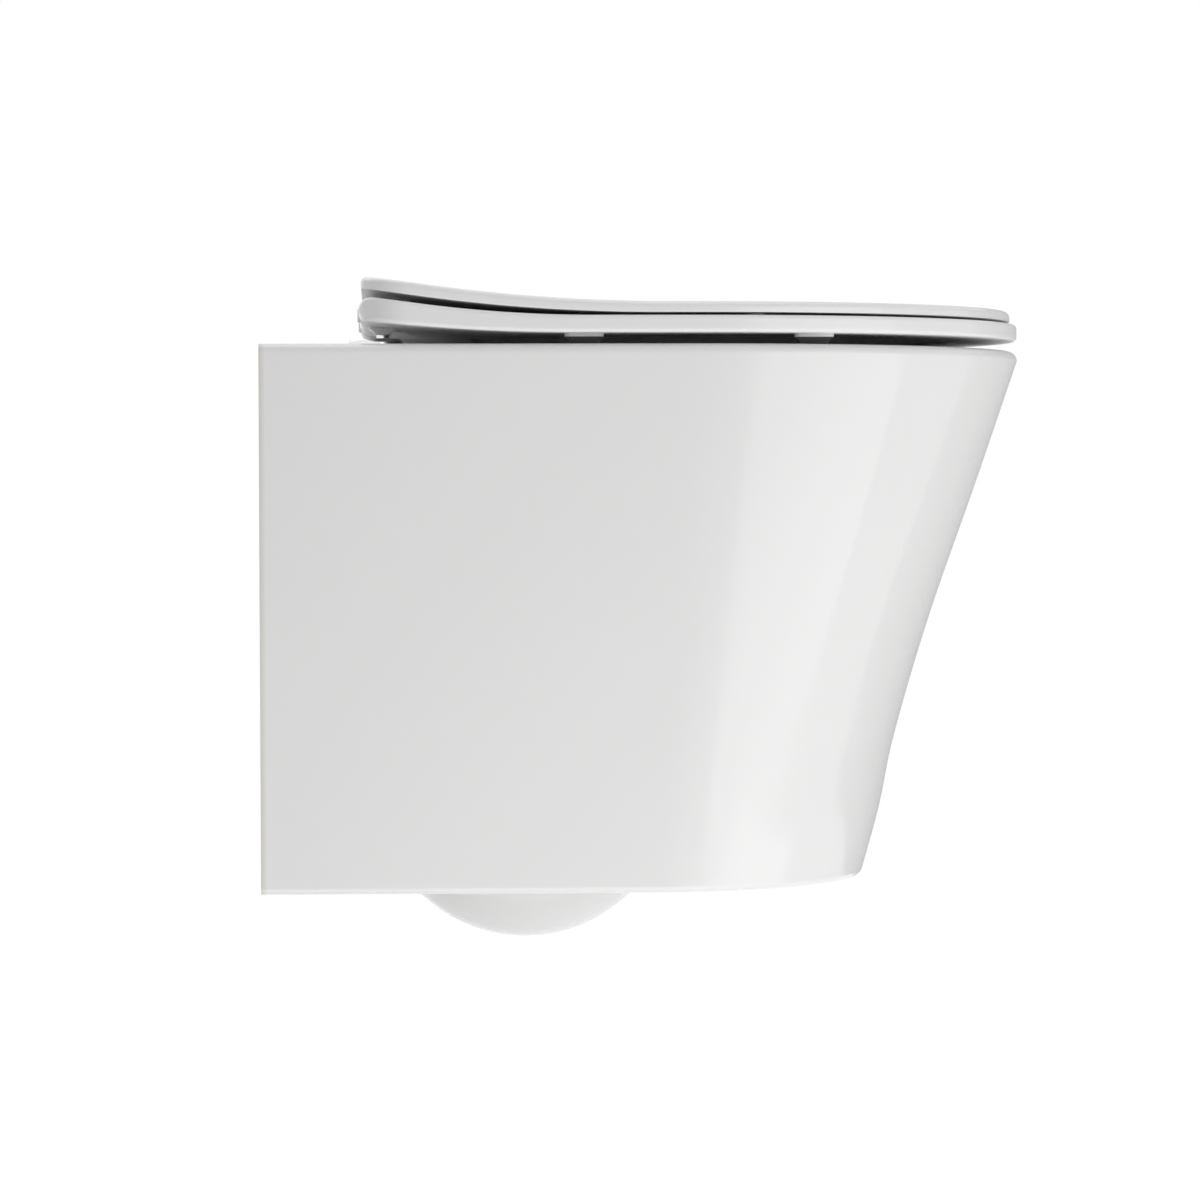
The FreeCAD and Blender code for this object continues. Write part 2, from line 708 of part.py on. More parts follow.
def cap():
    """Chrome cap that hides the flange; the post stands through its top."""
    body = new_body("hinge_cap_left")
    base = "deck_height + seat_fit"
    top = "deck_height + gasket_thickness + cap_height"
    cylinder(body, "cap", *POST_HOLE, "cap_radius", base, top)
    soften(body, "Fillet", "cap_edge", lambda e: level(e, top))
    inside, roof = "cap_radius - cap_wall", f"{top} - cap_edge"
    cylinder(body, "cap_inside", *POST_HOLE, inside, "deck_height", roof, cut=True)
    cylinder(body, "cap_hole", *POST, "post_radius + seat_fit", base, f"{top} + 1", cut=True)
    return body


def centring_cone():
    """Plastic cone that centres the shank in its hole from below."""
    body = new_body("centring_cone_left")
    profile = Drawing(body, "cone", "XZ_Plane", "post_spacing / 2")
    bore = "post_hole_x + shank_radius + seat_fit"
    neck = "post_hole_x + post_hole_radius - seat_fit"
    rim = "post_hole_x + cone_radius"
    seat = f"{UNDER_DECK} - seat_fit"
    tip = f"{seat} + cone_bite"
    foot = f"{seat} - cone_length + cone_bite"
    points = [(bore, tip), (bore, foot), (rim, foot), (rim, f"{foot} + cone_flange")]
    profile.polygon(points + [(neck, seat), (neck, tip)])
    axis = profile.line(("post_hole_x", foot), ("post_hole_x", tip))
    profile.place(axis, 1, "post_hole_x", foot)
    profile.place(axis, 2, "post_hole_x", tip)
    profile.sketch.setConstruction(axis, True)
    made = body.newObject("PartDesign::Revolution", "cone_turn")
    made.Profile = profile.sketch
    made.ReferenceAxis = (profile.sketch, ["Axis0"])
    made.Angle = 360
    doc.recompute()
    return body


CONE_FOOT = f"{UNDER_DECK} - seat_fit - cone_length + cone_bite"


def plate():
    body = new_body("post_washer_left")
    drawing = Drawing(body, "plate", "XY_Plane", f"{CONE_FOOT} - plate_thickness")
    drawing.circle("post_hole_x", POST_Y, "plate_radius")
    drawing.circle("post_hole_x", POST_Y, "shank_radius + seat_fit")
    feature(body, "Pad", drawing, Length="plate_thickness")
    return body


def wing_nut():
    body = new_body("wing_nut_left")
    top = f"{CONE_FOOT} - plate_thickness"
    foot = f"{top} - wing_height"
    cylinder(body, "hub", *POST_HOLE, "wing_hub", foot, top)
    ends = [f"post_hole_x {sign} wing_span / 2" for sign in "-+"]
    sides = [f"{POST_Y} {sign} wing_thickness / 2" for sign in "-+"]
    corners = (ends[0], sides[0], ends[1], sides[1])
    block(body, "wings", "XY_Plane", corners, foot, f"{top} - wing_height / 4")
    tips = [value(x) for x in ends]

    def at_tip(edge):
        return upright(edge) and min(abs(edge.CenterOfMass.x - x) for x in tips) < 0.01

    soften(body, "Fillet", "wing_edge", at_tip)
    cylinder(body, "thread", *POST_HOLE, "shank_radius + turn_room", foot, top, cut=True)
    return body


def upright(edge):
    box = edge.BoundBox
    return box.XLength < 0.01 and box.YLength < 0.01


# -------------------------------------------------------------- hinge bodies

AXIS = ("XZ_Plane", "axis_x", AXIS_Z)
SOCKET_TOP = "deck_height + post_top + socket_room"


def hinge_body():
    """Barrel on the hinge axis over a V shaped foot that sits on the post."""
    body = new_body("hinge_body_left")
    cylinder(body, "barrel", *AXIS, "barrel_radius", "hinge_inner", "hinge_outer")
    foot(body)
    socket = "post_radius + post_room"
    cylinder(body, "socket", *POST, socket, "deck_height", SOCKET_TOP, cut=True)
    start, end = "hinge_outer - damper_length", "hinge_outer + 1"
    cylinder(body, "damper_seat", *AXIS, "damper_radius", start, end, cut=True)
    start, end = "hinge_inner - 1", "hinge_inner + pin_hold"
    cylinder(body, "pin_seat", *AXIS, "pin_radius", start, end, cut=True)
    latch_slot(body)
    return body


def foot(body):
    """The V under the barrel: a low flat face, two slopes and a rounded nose."""
    width = "foot_half_width"
    drawing = Drawing(body, "foot", "XZ_Plane", f"post_spacing / 2 - {width}")
    low = "deck_height + foot_rise"
    high = f"{low} + foot_slope_top"
    rear = "axis_x - barrel_radius + 0.8"
    points = [
        (rear, f"{high} + 2"),
        (f"{POST_X} - foot_half_length", low),
        (f"{POST_X} + foot_half_length", low),
        ("foot_nose", high),
        ("foot_nose", f"{high} + 5"),
        (f"{POST_X} + foot_half_length", f"{AXIS_Z} + barrel_radius - 1.4"),
        ("axis_x", f"{AXIS_Z} + barrel_radius"),
        (rear, AXIS_Z),
    ]
    drawing.polygon(points)
    feature(body, "Pad", drawing, Length=f"2 * {width}")
    foot_ends = ("foot_nose", f"{POST_X} - foot_half_length", f"{POST_X} + foot_half_length")
    stops = [value(x) for x in foot_ends]

    def corner(edge):
        box = edge.BoundBox
        along = box.YLength > 1 and box.XLength < 0.01 and box.ZLength < 0.01
        return along and any(abs(box.XMin - x) < 0.01 for x in stops)

    soften(body, "Fillet", "foot_corner", corner)


def latch_slot(body):
    """Window at the rear for the button, and a slot round the post for the clip."""
    half = "button_width / 2 + button_room"
    low, high = (f"{AXIS_Z} {sign} button_height / 2 {sign} button_room" for sign in "-+")
    ends = (f"{POST_Y} - ({half})", f"{POST_Y} + {half}")
    front = f"{POST_X} - button_front + button_travel + button_room"
    window = ("axis_x - barrel_radius - 1", ends[0], front, ends[1])
    block(body, "window", "XY_Plane", window, low, high, cut=True)
    room = "clip_wire + clip_room"
    reach = "post_neck + clip_gap + 2 * clip_wire + clip_room"
    slot = Drawing(body, "clip_slot", "XY_Plane", f"{AXIS_Z} + {room}")
    slot.box(f"{POST_X} - button_front", f"{POST_Y} - ({reach})", POST_X, f"{POST_Y} + {reach}")
    feature(body, "Pocket", slot, Length=f"2 * ({room})")
    low, high = f"{AXIS_Z} - ({room})", f"{AXIS_Z} + {room}"
    cylinder(body, "clip_bow", *POST, reach, low, high, cut=True)


def damper():
    """Sealed rotary damper, pressed into the outboard end of its hinge body."""
    body = new_body("damper_left")
    start = "hinge_outer - damper_length"
    cylinder(body, "damper", *AXIS, "damper_radius", start, "hinge_outer")
    start, end = "hinge_outer - rotor_hold - turn_room", "hinge_outer + 1"
    cylinder(body, "rotor_seat", *AXIS, "rotor_radius + turn_room", start, end, cut=True)
    return body


def flats(drawing, radius, across):
    """A round shaft's outline with two flats, above and below the axis."""
    half, rise = f"({across}) / 2", f"sqrt(({radius}) ^ 2 - (({across}) / 2) ^ 2)"
    low, high = f"{AXIS_Z} - {half}", f"{AXIS_Z} + {half}"
    left, right = f"axis_x - {rise}", f"axis_x + {rise}"
    top = drawing.line((right, high), (left, high))
    bottom = drawing.line((left, low), (right, low))
    angle = math.degrees(math.asin(value(half) / value(radius)))
    west = drawing.arc(("axis_x", AXIS_Z), value(radius), 180 - angle, 180 + angle)
    east = drawing.arc(("axis_x", AXIS_Z), value(radius), -angle, angle)
    drawing.place(top, 1, right, high)
    drawing.place(top, 2, left, high)
    drawing.place(bottom, 1, left, low)
    drawing.place(bottom, 2, right, low)
    for arc, first, last in ((west, (top, 2), (bottom, 1)), (east, (bottom, 2), (top, 1))):
        drawing.rule("Coincident", arc, 1, *first)
        drawing.rule("Coincident", arc, 2, *last)
        drawing.rule("DistanceX", -1, 1, arc, 3, size="axis_x")


def rotor(label, mirrored):
    """Damper shaft: round in the damper, with two flats in the knuckle it turns."""
    body = new_body(label + "_left" if mirrored else label)
    start, end = "hinge_outer - rotor_hold", "hinge_outer + knuckle_gap"
    cylinder(body, "journal", *AXIS, "rotor_radius", start, end)
    drawing = Drawing(body, "key", "XZ_Plane", "hinge_outer + knuckle_gap / 2")
    flats(drawing, "rotor_radius", "rotor_flats")
    feature(body, "Pad", drawing, Length="rotor_reach")
    return right_hand(label, body) if mirrored else body


def pivot_pin():
    body = new_body("pivot_pin_left")
    start, end = "hinge_inner - knuckle_gap - pin_reach", "hinge_inner + pin_hold"
    cylinder(body, "pin", *AXIS, "pin_radius", start, end)
    return body


def latch_clip():
    """Spring wire bent round the post's neck; its legs run back to the button."""
    body = new_body("latch_clip_left")
    bend = "post_neck + clip_gap + clip_wire"
    tail = f"{POST_X} - clip_tail"
    low, high = f"{POST_Y} - ({bend})", f"{POST_Y} + {bend}"
    path = Drawing(body, "clip_line", "XY_Plane", AXIS_Z)
    near = path.line((tail, low), (POST_X, low))
    bow = path.arc((POST_X, POST_Y), value(bend), -90, 90)
    far = path.line((POST_X, high), (tail, high))
    path.rule("Coincident", near, 2, bow, 1)
    path.rule("Coincident", bow, 2, far, 1)
    path.place(near, 1, tail, low)
    path.place(near, 2, POST_X, low)
    path.place(far, 1, POST_X, high)
    path.place(far, 2, tail, high)
    path.rule("DistanceX", -1, 1, bow, 3, size=POST_X)
    wire = Drawing(body, "wire", "YZ_Plane", tail)
    wire.circle(low, AXIS_Z, "clip_wire")
    pipe(body, "Additive", wire, path)
    return body


def release_button():
    """Push button at the rear; its wedge spreads the legs of the clip."""
    body = new_body("release_button_left")
    half = "button_width / 2"
    front = f"{POST_X} - button_front"
    rear = "axis_x - barrel_radius - button_proud"
    low, high = (f"{AXIS_Z} {sign} button_height / 2" for sign in "-+")
    corners = (rear, f"{POST_Y} - {half}", front, f"{POST_Y} + {half}")
    block(body, "button", "XY_Plane", corners, low, high)
    soften(body, "Fillet", "button_edge", lambda e: at_rear(e, rear))
    wedge = Drawing(body, "wedge", "XY_Plane", f"{AXIS_Z} - clip_wire")
    tip, narrow = f"{front} + button_nose", "button_tip_width / 2"
    points = [
        (front, f"{POST_Y} - {half}"),
        (tip, f"{POST_Y} - {narrow}"),
        (tip, f"{POST_Y} + {narrow}"),
        (front, f"{POST_Y} + {half}"),
    ]
    wedge.polygon(points)
    feature(body, "Pad", wedge, Length="2 * clip_wire")
    return body


def at_rear(edge, rear):
    box = edge.BoundBox
    return abs(box.XMin - value(rear)) < 0.01 and box.XLength < 0.01


# ------------------------------------------------------------- seat and lid


def slab(body, name, reach, half, shape):
    """A thin plate, level in front and curving up to the rear, across the width.

    shape names the sizes of its underside and top; its rear end is left to the
    caller, who gets the drawing, the rising top and the rising underside.
    """
    drawing = Drawing(body, f"{name}_side", "XZ_Plane", f"-({half}) - 1")
    low, high = f"deck_height + {name}_under", f"deck_height + {name}_under + {name}_thickness"
    front = f"{reach} + 1"
    under = drawing.line((f"{name}_under_start", low), (front, low))
    nose = drawing.line((front, low), (front, high))
    top = drawing.line((front, high), (f"{name}_top_start", high))
    rise = rising(drawing, top, f"{name}_top", high)
    lift = rising(drawing, under, f"{name}_under", low)
    drawing.rule("Coincident", under, 2, nose, 1)
    drawing.rule("Coincident", nose, 2, top, 1)
    drawing.place(under, 1, f"{name}_under_start", low)
    drawing.place(top, 1, front, high)
    drawing.place(top, 2, f"{name}_top_start", high)
    drawing.rule("DistanceX", -1, 1, under, 2, size=front)
    drawing.rule("Horizontal", under)
    shape(drawing, rise, lift)
    return feature(body, "Pad", drawing, Length=f"2 * ({half}) + 2")


def rising(drawing, flat, name, height):
    """The arc that carries a level line on, upwards to the rear hinge."""
    start, bend = f"{name}_start", f"{name}_bend"
    sweep = math.degrees(math.asin((value(start) - value("axis_x")) / value(bend)))
    arc = drawing.arc((start, f"{height} + {bend}"), value(bend), 270 - sweep, 270)
    drawing.rule("Radius", arc, size=bend)
    end = 2 if name.endswith("top") else 1
    drawing.rule("Tangent", flat, end, arc, 2)
    return arc


def round_end(drawing, rise, lift):
    """Close the seat's rear with a half round about the hinge axis."""
    top, low = "seat_under + seat_thickness", "seat_under"
    climb = "(seat_{0}_start - axis_x) ^ 2 / 2 / seat_{0}_bend"
    high = value(f"{top} + " + climb.format("top"))
    under = value(f"{low} + " + climb.format("under"))
    centre = ("axis_x", f"deck_height + {(high + under) / 2}")
    end = drawing.arc(centre, (high - under) / 2, 90, 270)
    drawing.rule("Tangent", rise, 1, end, 1)
    drawing.rule("Tangent", end, 2, lift, 1)
    drawing.rule("DistanceX", -1, 1, end, 3, size="axis_x")


def underside(name, x):
    """Height of a plate's underside at a distance from the wall."""
    run, bend = max(0, value(f"{name}_under_start") - x), value(f"{name}_under_bend")
    return value(f"deck_height + {name}_under") + bend - math.sqrt(bend**2 - run**2)


def square_end(drawing, rise, lift):
    """Close the lid's rear with an upright face."""
    climb = "deck_height + {1} + (lid_{0}_start - lid_rear) ^ 2 / 2 / lid_{0}_bend"
    points = [
        ("lid_rear", climb.format("top", "lid_under + lid_thickness")),
        ("lid_rear", climb.format("under", "lid_under")),
    ]
    end = drawing.line(*points)
    drawing.rule("Coincident", rise, 1, end, 1)
    drawing.rule("Coincident", end, 2, lift, 1)
    drawing.rule("Vertical", end)
    drawing.rule("DistanceX", -1, 1, end, 1, size="lid_rear")


def trim(body, name, rear, run, reach, half, corner):
    """Cut away what lies outside a D shaped outline with rounded rear corners."""
    drawing = Drawing(body, f"{name}_outline", "XY_Plane", "deck_height + 2 * seat_half")
    margin = "trim_margin"
    low, high = f"-{half} - {margin}", f"{half} + {margin}"
    drawing.box(f"{rear} - 4 * {margin}", low, f"{reach} + {margin}", high)
    low, high = f"-({half})", half
    shapes = [
        drawing.quarter((f"{rear} + {corner}", high), (rear, high), (rear, f"{high} - {corner}")),
        drawing.line((rear, f"{high} - {corner}"), (rear, f"{low} + {corner}")),
        drawing.quarter((rear, f"{low} + {corner}"), (rear, low), (f"{rear} + {corner}", low)),
        drawing.line((f"{rear} + {corner}", low), (run, low)),
        drawing.quarter((run, low), (reach, low), (reach, "0")),
        drawing.quarter((reach, "0"), (reach, high), (run, high)),
        drawing.line((run, high), (f"{rear} + {corner}", high)),
    ]
    drawing.join(shapes)
    starts = [
        (f"{rear} + {corner}", high),
        (rear, f"{high} - {corner}"),
        (rear, f"{low} + {corner}"),
        (f"{rear} + {corner}", low),
        (run, low),
        (reach, "0"),
        (run, high),
    ]
    for shape, point in zip(shapes, starts):
        drawing.place(shape, 1, *point)
    return feature(body, "Pocket", drawing, Length="4 * seat_half")


def runs_round(edge):
    """Whether an edge follows the outline, and neither crosses it nor stands up."""
    box = edge.BoundBox
    across = box.XLength < 0.01 and box.ZLength < 0.01
    return not across and not upright(edge)


KNUCKLE_INNER = "hinge_inner - knuckle_gap"
KNUCKLE_OUTER = "hinge_outer + knuckle_gap"


def seat():
    """Seat ring with a gap in its rear rail for each hinge body and lid lug."""
    body = new_body("seat")
    slab(body, "seat", "seat_reach", "seat_half", round_end)
    rear = "axis_x - barrel_radius"
    trim(body, "seat", rear, "seat_run", "seat_reach", "seat_half", "seat_corner")
    soften(body, "Fillet", "seat_edge", runs_round)
    hole = Drawing(body, "seat_hole", "XY_Plane", "deck_height + 2 * seat_half")
    hole.oval("hole_centre", "hole_length_half", "hole_half")
    feature(body, "Pocket", hole, Length="4 * seat_half")
    soften(body, "Fillet", "hole_edge", lambda e: runs_round(e) and inside_hole(e))
    lug = "lug_width + knuckle_gap"
    seat_notch(body, f"{KNUCKLE_INNER} - ({lug})", KNUCKLE_OUTER)
    seat_notch(body, f"-({KNUCKLE_OUTER}) - ({lug})", f"-({KNUCKLE_INNER})")
    key_hole(body, KNUCKLE_OUTER)
    pin_hole(body, f"-({KNUCKLE_INNER})")
    for end in ("rear", "front"):
        for side in ("-", ""):
            x, y = f"pad_{end}_x", f"{side}pad_{end}_y"
            top = "deck_height + seat_under + pad_plug + seat_fit"
            plug = "pad_plug_radius + turn_room"
            cylinder(body, "pad_socket", "XY_Plane", x, y, plug, "deck_height", top, cut=True)
    return body


def inside_hole(edge):
    box = edge.BoundBox
    return box.XMin > value("hole_centre - hole_length_half") - 1 and (
        box.XMax < value("hole_centre + hole_length_half") + 1
    )


def seat_notch(body, start, end):
    """Room to turn round a hinge body and a lug, open to the rear."""
    drawing = Drawing(body, "notch", "XZ_Plane", end)
    high, low = f"{AXIS_Z} + notch_radius", f"{AXIS_Z} - notch_radius"
    rear = "axis_x - notch_radius"
    front = drawing.arc(("axis_x", AXIS_Z), value("notch_radius"), -90, 90)
    shapes = [
        front,
        drawing.line(("axis_x", high), (rear, high)),
        drawing.line((rear, high), (rear, low)),
        drawing.line((rear, low), ("axis_x", low)),
    ]
    drawing.join(shapes)
    drawing.place(front, 1, "axis_x", low)
    drawing.place(front, 2, "axis_x", high)
    drawing.rule("DistanceX", -1, 1, front, 3, size="axis_x")
    drawing.place(shapes[2], 1, rear, high)
    drawing.place(shapes[2], 2, rear, low)
    feature(body, "Pocket", drawing, Length=f"({end}) - ({start})")


def key_hole(body, start):
    """Two sided hole that the rotor of a damper turns, in a knuckle's end."""
    drawing = Drawing(body, "key_hole", "XZ_Plane", f"{start} + rotor_reach")
    flats(drawing, "rotor_radius + turn_room", "rotor_flats + 2 * turn_room")
    feature(body, "Pocket", drawing, Length="rotor_reach + 1")


def pin_hole(body, start):
    """Round hole for a pivot pin, from a knuckle's end inboard."""
    end = f"{start} + pin_reach + 1"
    cylinder(body, "pin_hole", *AXIS, "pin_radius + turn_room", start, end, cut=True)


def lid():
    """Lid plate with two lugs that reach down to the hinge axis."""
    body = new_body("lid")
    slab(body, "lid", "lid_reach", "lid_half", square_end)
    trim(body, "lid", "lid_rear", "seat_run", "lid_reach", "lid_half", "lid_corner")

    def outline(edge, low, high):
        """Whether an edge follows the outline, between two heights in the plate."""
        rises = [corner.Z - underside("lid", corner.X) for corner in edge.Vertexes]
        around = runs_round(edge) or (at_rear(edge, "lid_rear") and not upright(edge))
        return around and low < min(rises) and max(rises) < high

    half, thick = value("lid_thickness / 2"), value("lid_thickness * 2")
    soften(body, "Fillet", "lid_edge", lambda e: outline(e, half, thick))
    soften(body, "Fillet", "lid_lower_edge", lambda e: outline(e, -0.1, 0.1))
    recess = Drawing(body, "recess", "XY_Plane", "deck_height + lid_under + lid_recess")
    half, reach = "lid_half - lid_border", "lid_reach - lid_border"
    recess.d_outline("post_hole_x + 2 * lid_border", "seat_run", reach, half)
    feature(body, "Pocket", recess, Length="2 * lid_recess")
    lug(body, f"{KNUCKLE_INNER} - lug_width", KNUCKLE_INNER)
    lug(body, f"-({KNUCKLE_OUTER}) - lug_width", f"-({KNUCKLE_OUTER})")
    start, end = f"{KNUCKLE_INNER} - lug_width - 1", f"{KNUCKLE_INNER} + 1"
    cylinder(body, "lug_bore", *AXIS, "pin_radius + turn_room", start, end, cut=True)
    drawing = Drawing(body, "lug_key", "XZ_Plane", f"-({KNUCKLE_OUTER}) + 1")
    flats(drawing, "rotor_radius + turn_room", "rotor_flats + 2 * turn_room")
    feature(body, "Pocket", drawing, Length="lug_width + 2")
    for x, y in (("dot_side_x", "dot_side_y"), ("dot_front_x", "dot_front_y")):
        for side in ("-", ""):
            place = ("XY_Plane", x, side + y)
            top = "deck_height + lid_under + dot_plug + seat_fit"
            plug = "dot_plug_radius + turn_room"
            cylinder(body, "dot_socket", *place, plug, "deck_height", top, cut=True)
    return body


def lug(body, start, end):
    """Knuckle on the hinge axis, and the web that carries it."""
    cylinder(body, "lug", *AXIS, "lug_radius", start, end)
    climb = "(lid_under_start - axis_x) ^ 2 / 2 / lid_under_bend"
    top = f"deck_height + lid_under + {climb} + lug_bite"
    corners = ("axis_x - lug_root", AXIS_Z, "axis_x + lug_root", top)
    block(body, "web", "XZ_Plane", corners, start, end)


def seat_pad(end):
    """Long buffer under the seat, plugged into it."""
    body = new_body(f"seat_pad_left_{end}")
    x, y = f"pad_{end}_x", f"-pad_{end}_y"
    top = "deck_height + seat_under"
    length, width = "pad_length / 2", "pad_width / 2"
    corners = (f"{x} - {length}", f"{y} - {width}", f"{x} + {length}", f"{y} + {width}")
    block(body, "pad", "XY_Plane", corners, "deck_height + pad_gap", top)
    soften(body, "Fillet", "pad_corner", upright)
    soften(body, "Fillet", "pad_edge", lambda e: level(e, "deck_height + pad_gap"))
    cylinder(body, "plug", "XY_Plane", x, y, "pad_plug_radius", top, f"{top} + pad_plug")
    return body


def lid_dot(end):
    """Small round buffer under the lid, plugged into it."""
    body = new_body(f"lid_dot_left_{end}")
    x, y = f"dot_{end}_x", f"-dot_{end}_y"
    top = "deck_height + lid_under"
    foot = "deck_height + seat_under + seat_thickness + pad_gap"
    cylinder(body, "dot", "XY_Plane", x, y, "dot_radius", foot, top)
    soften(body, "Fillet", "dot_edge", lambda e: level(e, foot))
    cylinder(body, "plug", "XY_Plane", x, y, "dot_plug_radius", top, f"{top} + dot_plug")
    return body


# ----------------------------------------------------------------- assembly


def assembly():
    """Every sub-part, each named by its label."""
    hinge_left, button_left = hinge_body(), release_button()
    hinge_left.Label, button_left.Label = "hinge_body_left", "release_button_left"
    return [
        pan(),
        both_sides("rod_sleeves", rod_sleeve()),
        both_sides("rod_washers", rod_washer()),
        both_sides("rod_nuts", rod_nut()),
        both_sides("post_gaskets", gasket()),
        both_sides("hinge_posts", post()),
        both_sides("hinge_caps", cap()),
        both_sides("centring_cones", centring_cone()),
        both_sides("post_washers", plate()),
        both_sides("wing_nuts", wing_nut()),
        hinge_left,
        right_hand("hinge_body_right", hinge_left),
        both_sides("dampers", damper()),
        both_sides("pivot_pins", pivot_pin()),
        both_sides("latch_clips", latch_clip()),
        button_left,
        right_hand("release_button_right", button_left),
        seat(),
        both_sides("seat_buffers", seat_pad("rear"), seat_pad("front")),
        rotor("seat_rotor", mirrored=False),
        lid(),
        both_sides("lid_buffers", lid_dot("side"), lid_dot("front")),
        rotor("lid_rotor", mirrored=True),
    ]


parts = assembly()
doc.recompute()

faults = [o.Name for o in doc.Objects if {"Invalid", "Error"} & set(o.State)]
faults += [p.Label for p in parts if p.Shape.isNull() or not p.Shape.isValid()]
if faults:
    raise SystemExit(f"these failed: {faults}")

os.makedirs("parts", exist_ok=True)
for sub_part in parts:
    sub_part.Shape.exportStep(f"parts/{sub_part.Label}.step")
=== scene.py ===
"""Looks of the wall hung toilet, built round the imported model.

Lengths are in millimetres in the model's own frame: X out from the wall, Y along
it and Z up, with the origin between the two wall rods. A mesh is brought to metres
when it is made. Pieces are built for the hinge at Y < 0 and mirrored.
"""

import json
import math

import bmesh
import bpy
from mathutils import Matrix, Vector

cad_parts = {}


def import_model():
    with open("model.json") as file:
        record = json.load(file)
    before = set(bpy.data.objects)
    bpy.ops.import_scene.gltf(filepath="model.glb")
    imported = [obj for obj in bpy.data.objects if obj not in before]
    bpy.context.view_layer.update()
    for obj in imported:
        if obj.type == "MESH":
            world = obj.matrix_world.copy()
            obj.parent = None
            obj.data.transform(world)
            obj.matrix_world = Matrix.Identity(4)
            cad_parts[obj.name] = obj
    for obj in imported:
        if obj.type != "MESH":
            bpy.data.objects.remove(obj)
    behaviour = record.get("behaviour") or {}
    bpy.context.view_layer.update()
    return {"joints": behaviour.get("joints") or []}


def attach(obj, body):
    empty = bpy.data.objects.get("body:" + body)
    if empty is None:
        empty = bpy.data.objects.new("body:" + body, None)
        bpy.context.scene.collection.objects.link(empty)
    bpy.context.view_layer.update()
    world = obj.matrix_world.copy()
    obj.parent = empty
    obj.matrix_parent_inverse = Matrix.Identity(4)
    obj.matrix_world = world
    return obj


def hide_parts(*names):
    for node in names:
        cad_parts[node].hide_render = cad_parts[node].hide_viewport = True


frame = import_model()

MM = 0.001
SEGMENTS = 96
# points nearer than this, in metres, are one point of a mesh
WELD = 2e-6

# ------------------------------------------------------------------- sizes

# outside of the pan: height, reach from the wall, straight run, half width
PAN_LEVELS = [
    (80, 481.3, 265, 180),
    (-5, 451.9, 258, 177.5),
    (-90, 421.8, 252, 174),
    (-166, 399.3, 247, 170),
    (-210, 390, 243, 167.5),
    (-252, 378.3, 239, 165),
]
DECK, FOOT = 80, -252
DECK_THICKNESS, CHINA, REAR_WALL = 14, 11, 12
RIM_EDGE, FOOT_EDGE = 6, 4

# inside of the bowl: height, centre from the wall, half length, half width
MOUTH = (287, 163, 142)
MOUTH_DEPTH, MOUTH_EDGE, LEDGE_ROUND = 52, 7, 3
BOWL_LEVELS = [
    (28, 287, 154, 133),
    (-40, 271, 124, 106),
    (-110, 245, 80, 68),
    (-158, 225, 47, 44),
    (-197, 212.5, 34, 34),
]
OUTLET_Z, OUTLET_RUN, TRAP_BEND, TRAP_LEG, TRAP_LIP = -100, 68.5, 48, 49, 22
TRAP_BORE, SPIGOT, SPIGOT_LENGTH, SPIGOT_ROOM = 36, 51, 50, 14
INLET_Z, INLET, INLET_DEPTH, INLET_WAY = 35, 27.5, 50, 19
NOTCH_TOP, NOTCH_HALF, NOTCH_CORNER = -182, 140, 30

ROD_Y, ROD_HOLE, BOSS, BOSS_END = 90, 11.2, 24, 45
POST_HOLE_X, POST_Y, POST_HOLE = 70, 77.5, 7
POST_X = 74.5

# fixings. A plain name is a radius. FIT is the room to the china, LEAD the widened
# mouth of a thread.
FIT, LEAD = 0.2, 0.8
ROD_BORE, ROD_THREAD = 6.5, 6.1
SLEEVE, SLEEVE_RIM, SLEEVE_RIM_WIDTH = 11, 19, 3
ROD_WASHER, ROD_WASHER_WIDTH = 15, 2.5
NUT_FLATS, NUT_WIDTH = 19, 10
FLANGE, FLANGE_TOP, GASKET, GASKET_HEIGHT = 12, 3, 15.5, 0.8
POST, POST_TIP, GROOVE, GROOVE_HALF, POST_TOP = 4, 2.8, 3.2, 1, 26
THREAD_ROOT, THREAD_CREST, THREAD_PITCH = 3.4, 3.95, 1.25
STUD_TIP, STUD_START, STUD_LENGTH = 3.2, 3.9, 44
STUD_BORE, CAP, CAP_SKIN, CAP_TOP = 4.2, 16.9, 1.2, 6.4
CONE, CONE_NECK, CONE_PLUG, CONE_HEIGHT = 13, 6.8, 5, 4
PLATE, PLATE_WIDTH = 10, 1.6
WING_HUB, WING_HEIGHT, WING_REACH, WING_HALF, WING_STEP = 8, 9, 18, 1.6, 2.25

AXIS_X, AXIS_Z = (1000 * c for c in frame["joints"][1]["pos_m"][::2])
KNUCKLE_GAP, LUG_WIDTH = 0.3, 12
HINGE_INNER, HINGE_OUTER = 61, 106
BARREL, SOCKET, SEAT_NOTCH = 8, 4.06, 20.5
LUG, LUG_ROOT, LUG_SINK = 7.5, 3, 3
DAMPER, DAMPER_LENGTH = 5.8, 19
SHAFT, SHAFT_BORE, SHAFT_FLAT, SHAFT_DEPTH, SHAFT_REACH = 3, 3.05, 2.1, 3, 11
PIN, PIN_BORE, PIN_DEPTH, PIN_REACH = 2.5, 2.55, 8, 11
WIRE, WIRE_BEND, WIRE_TAIL = 0.7, 3.95, 7

# side of a hinge's foot: place from the wall, height, radius of the corner
FOOT_HALF = 11
HINGE_FOOT = [
    (59.8, DECK + 17.6, 0.6), (70.3, DECK + 8.8, 1.6), (78.7, DECK + 8.8, 1.6),
    (85.2, DECK + 15.6, 1.6), (85.2, DECK + 20.6, 1.2), (78.7, AXIS_Z + 6.6, 1.2),
    (AXIS_X, AXIS_Z + 7.9, 0.6), (59.8, AXIS_Z, 0.6),
]

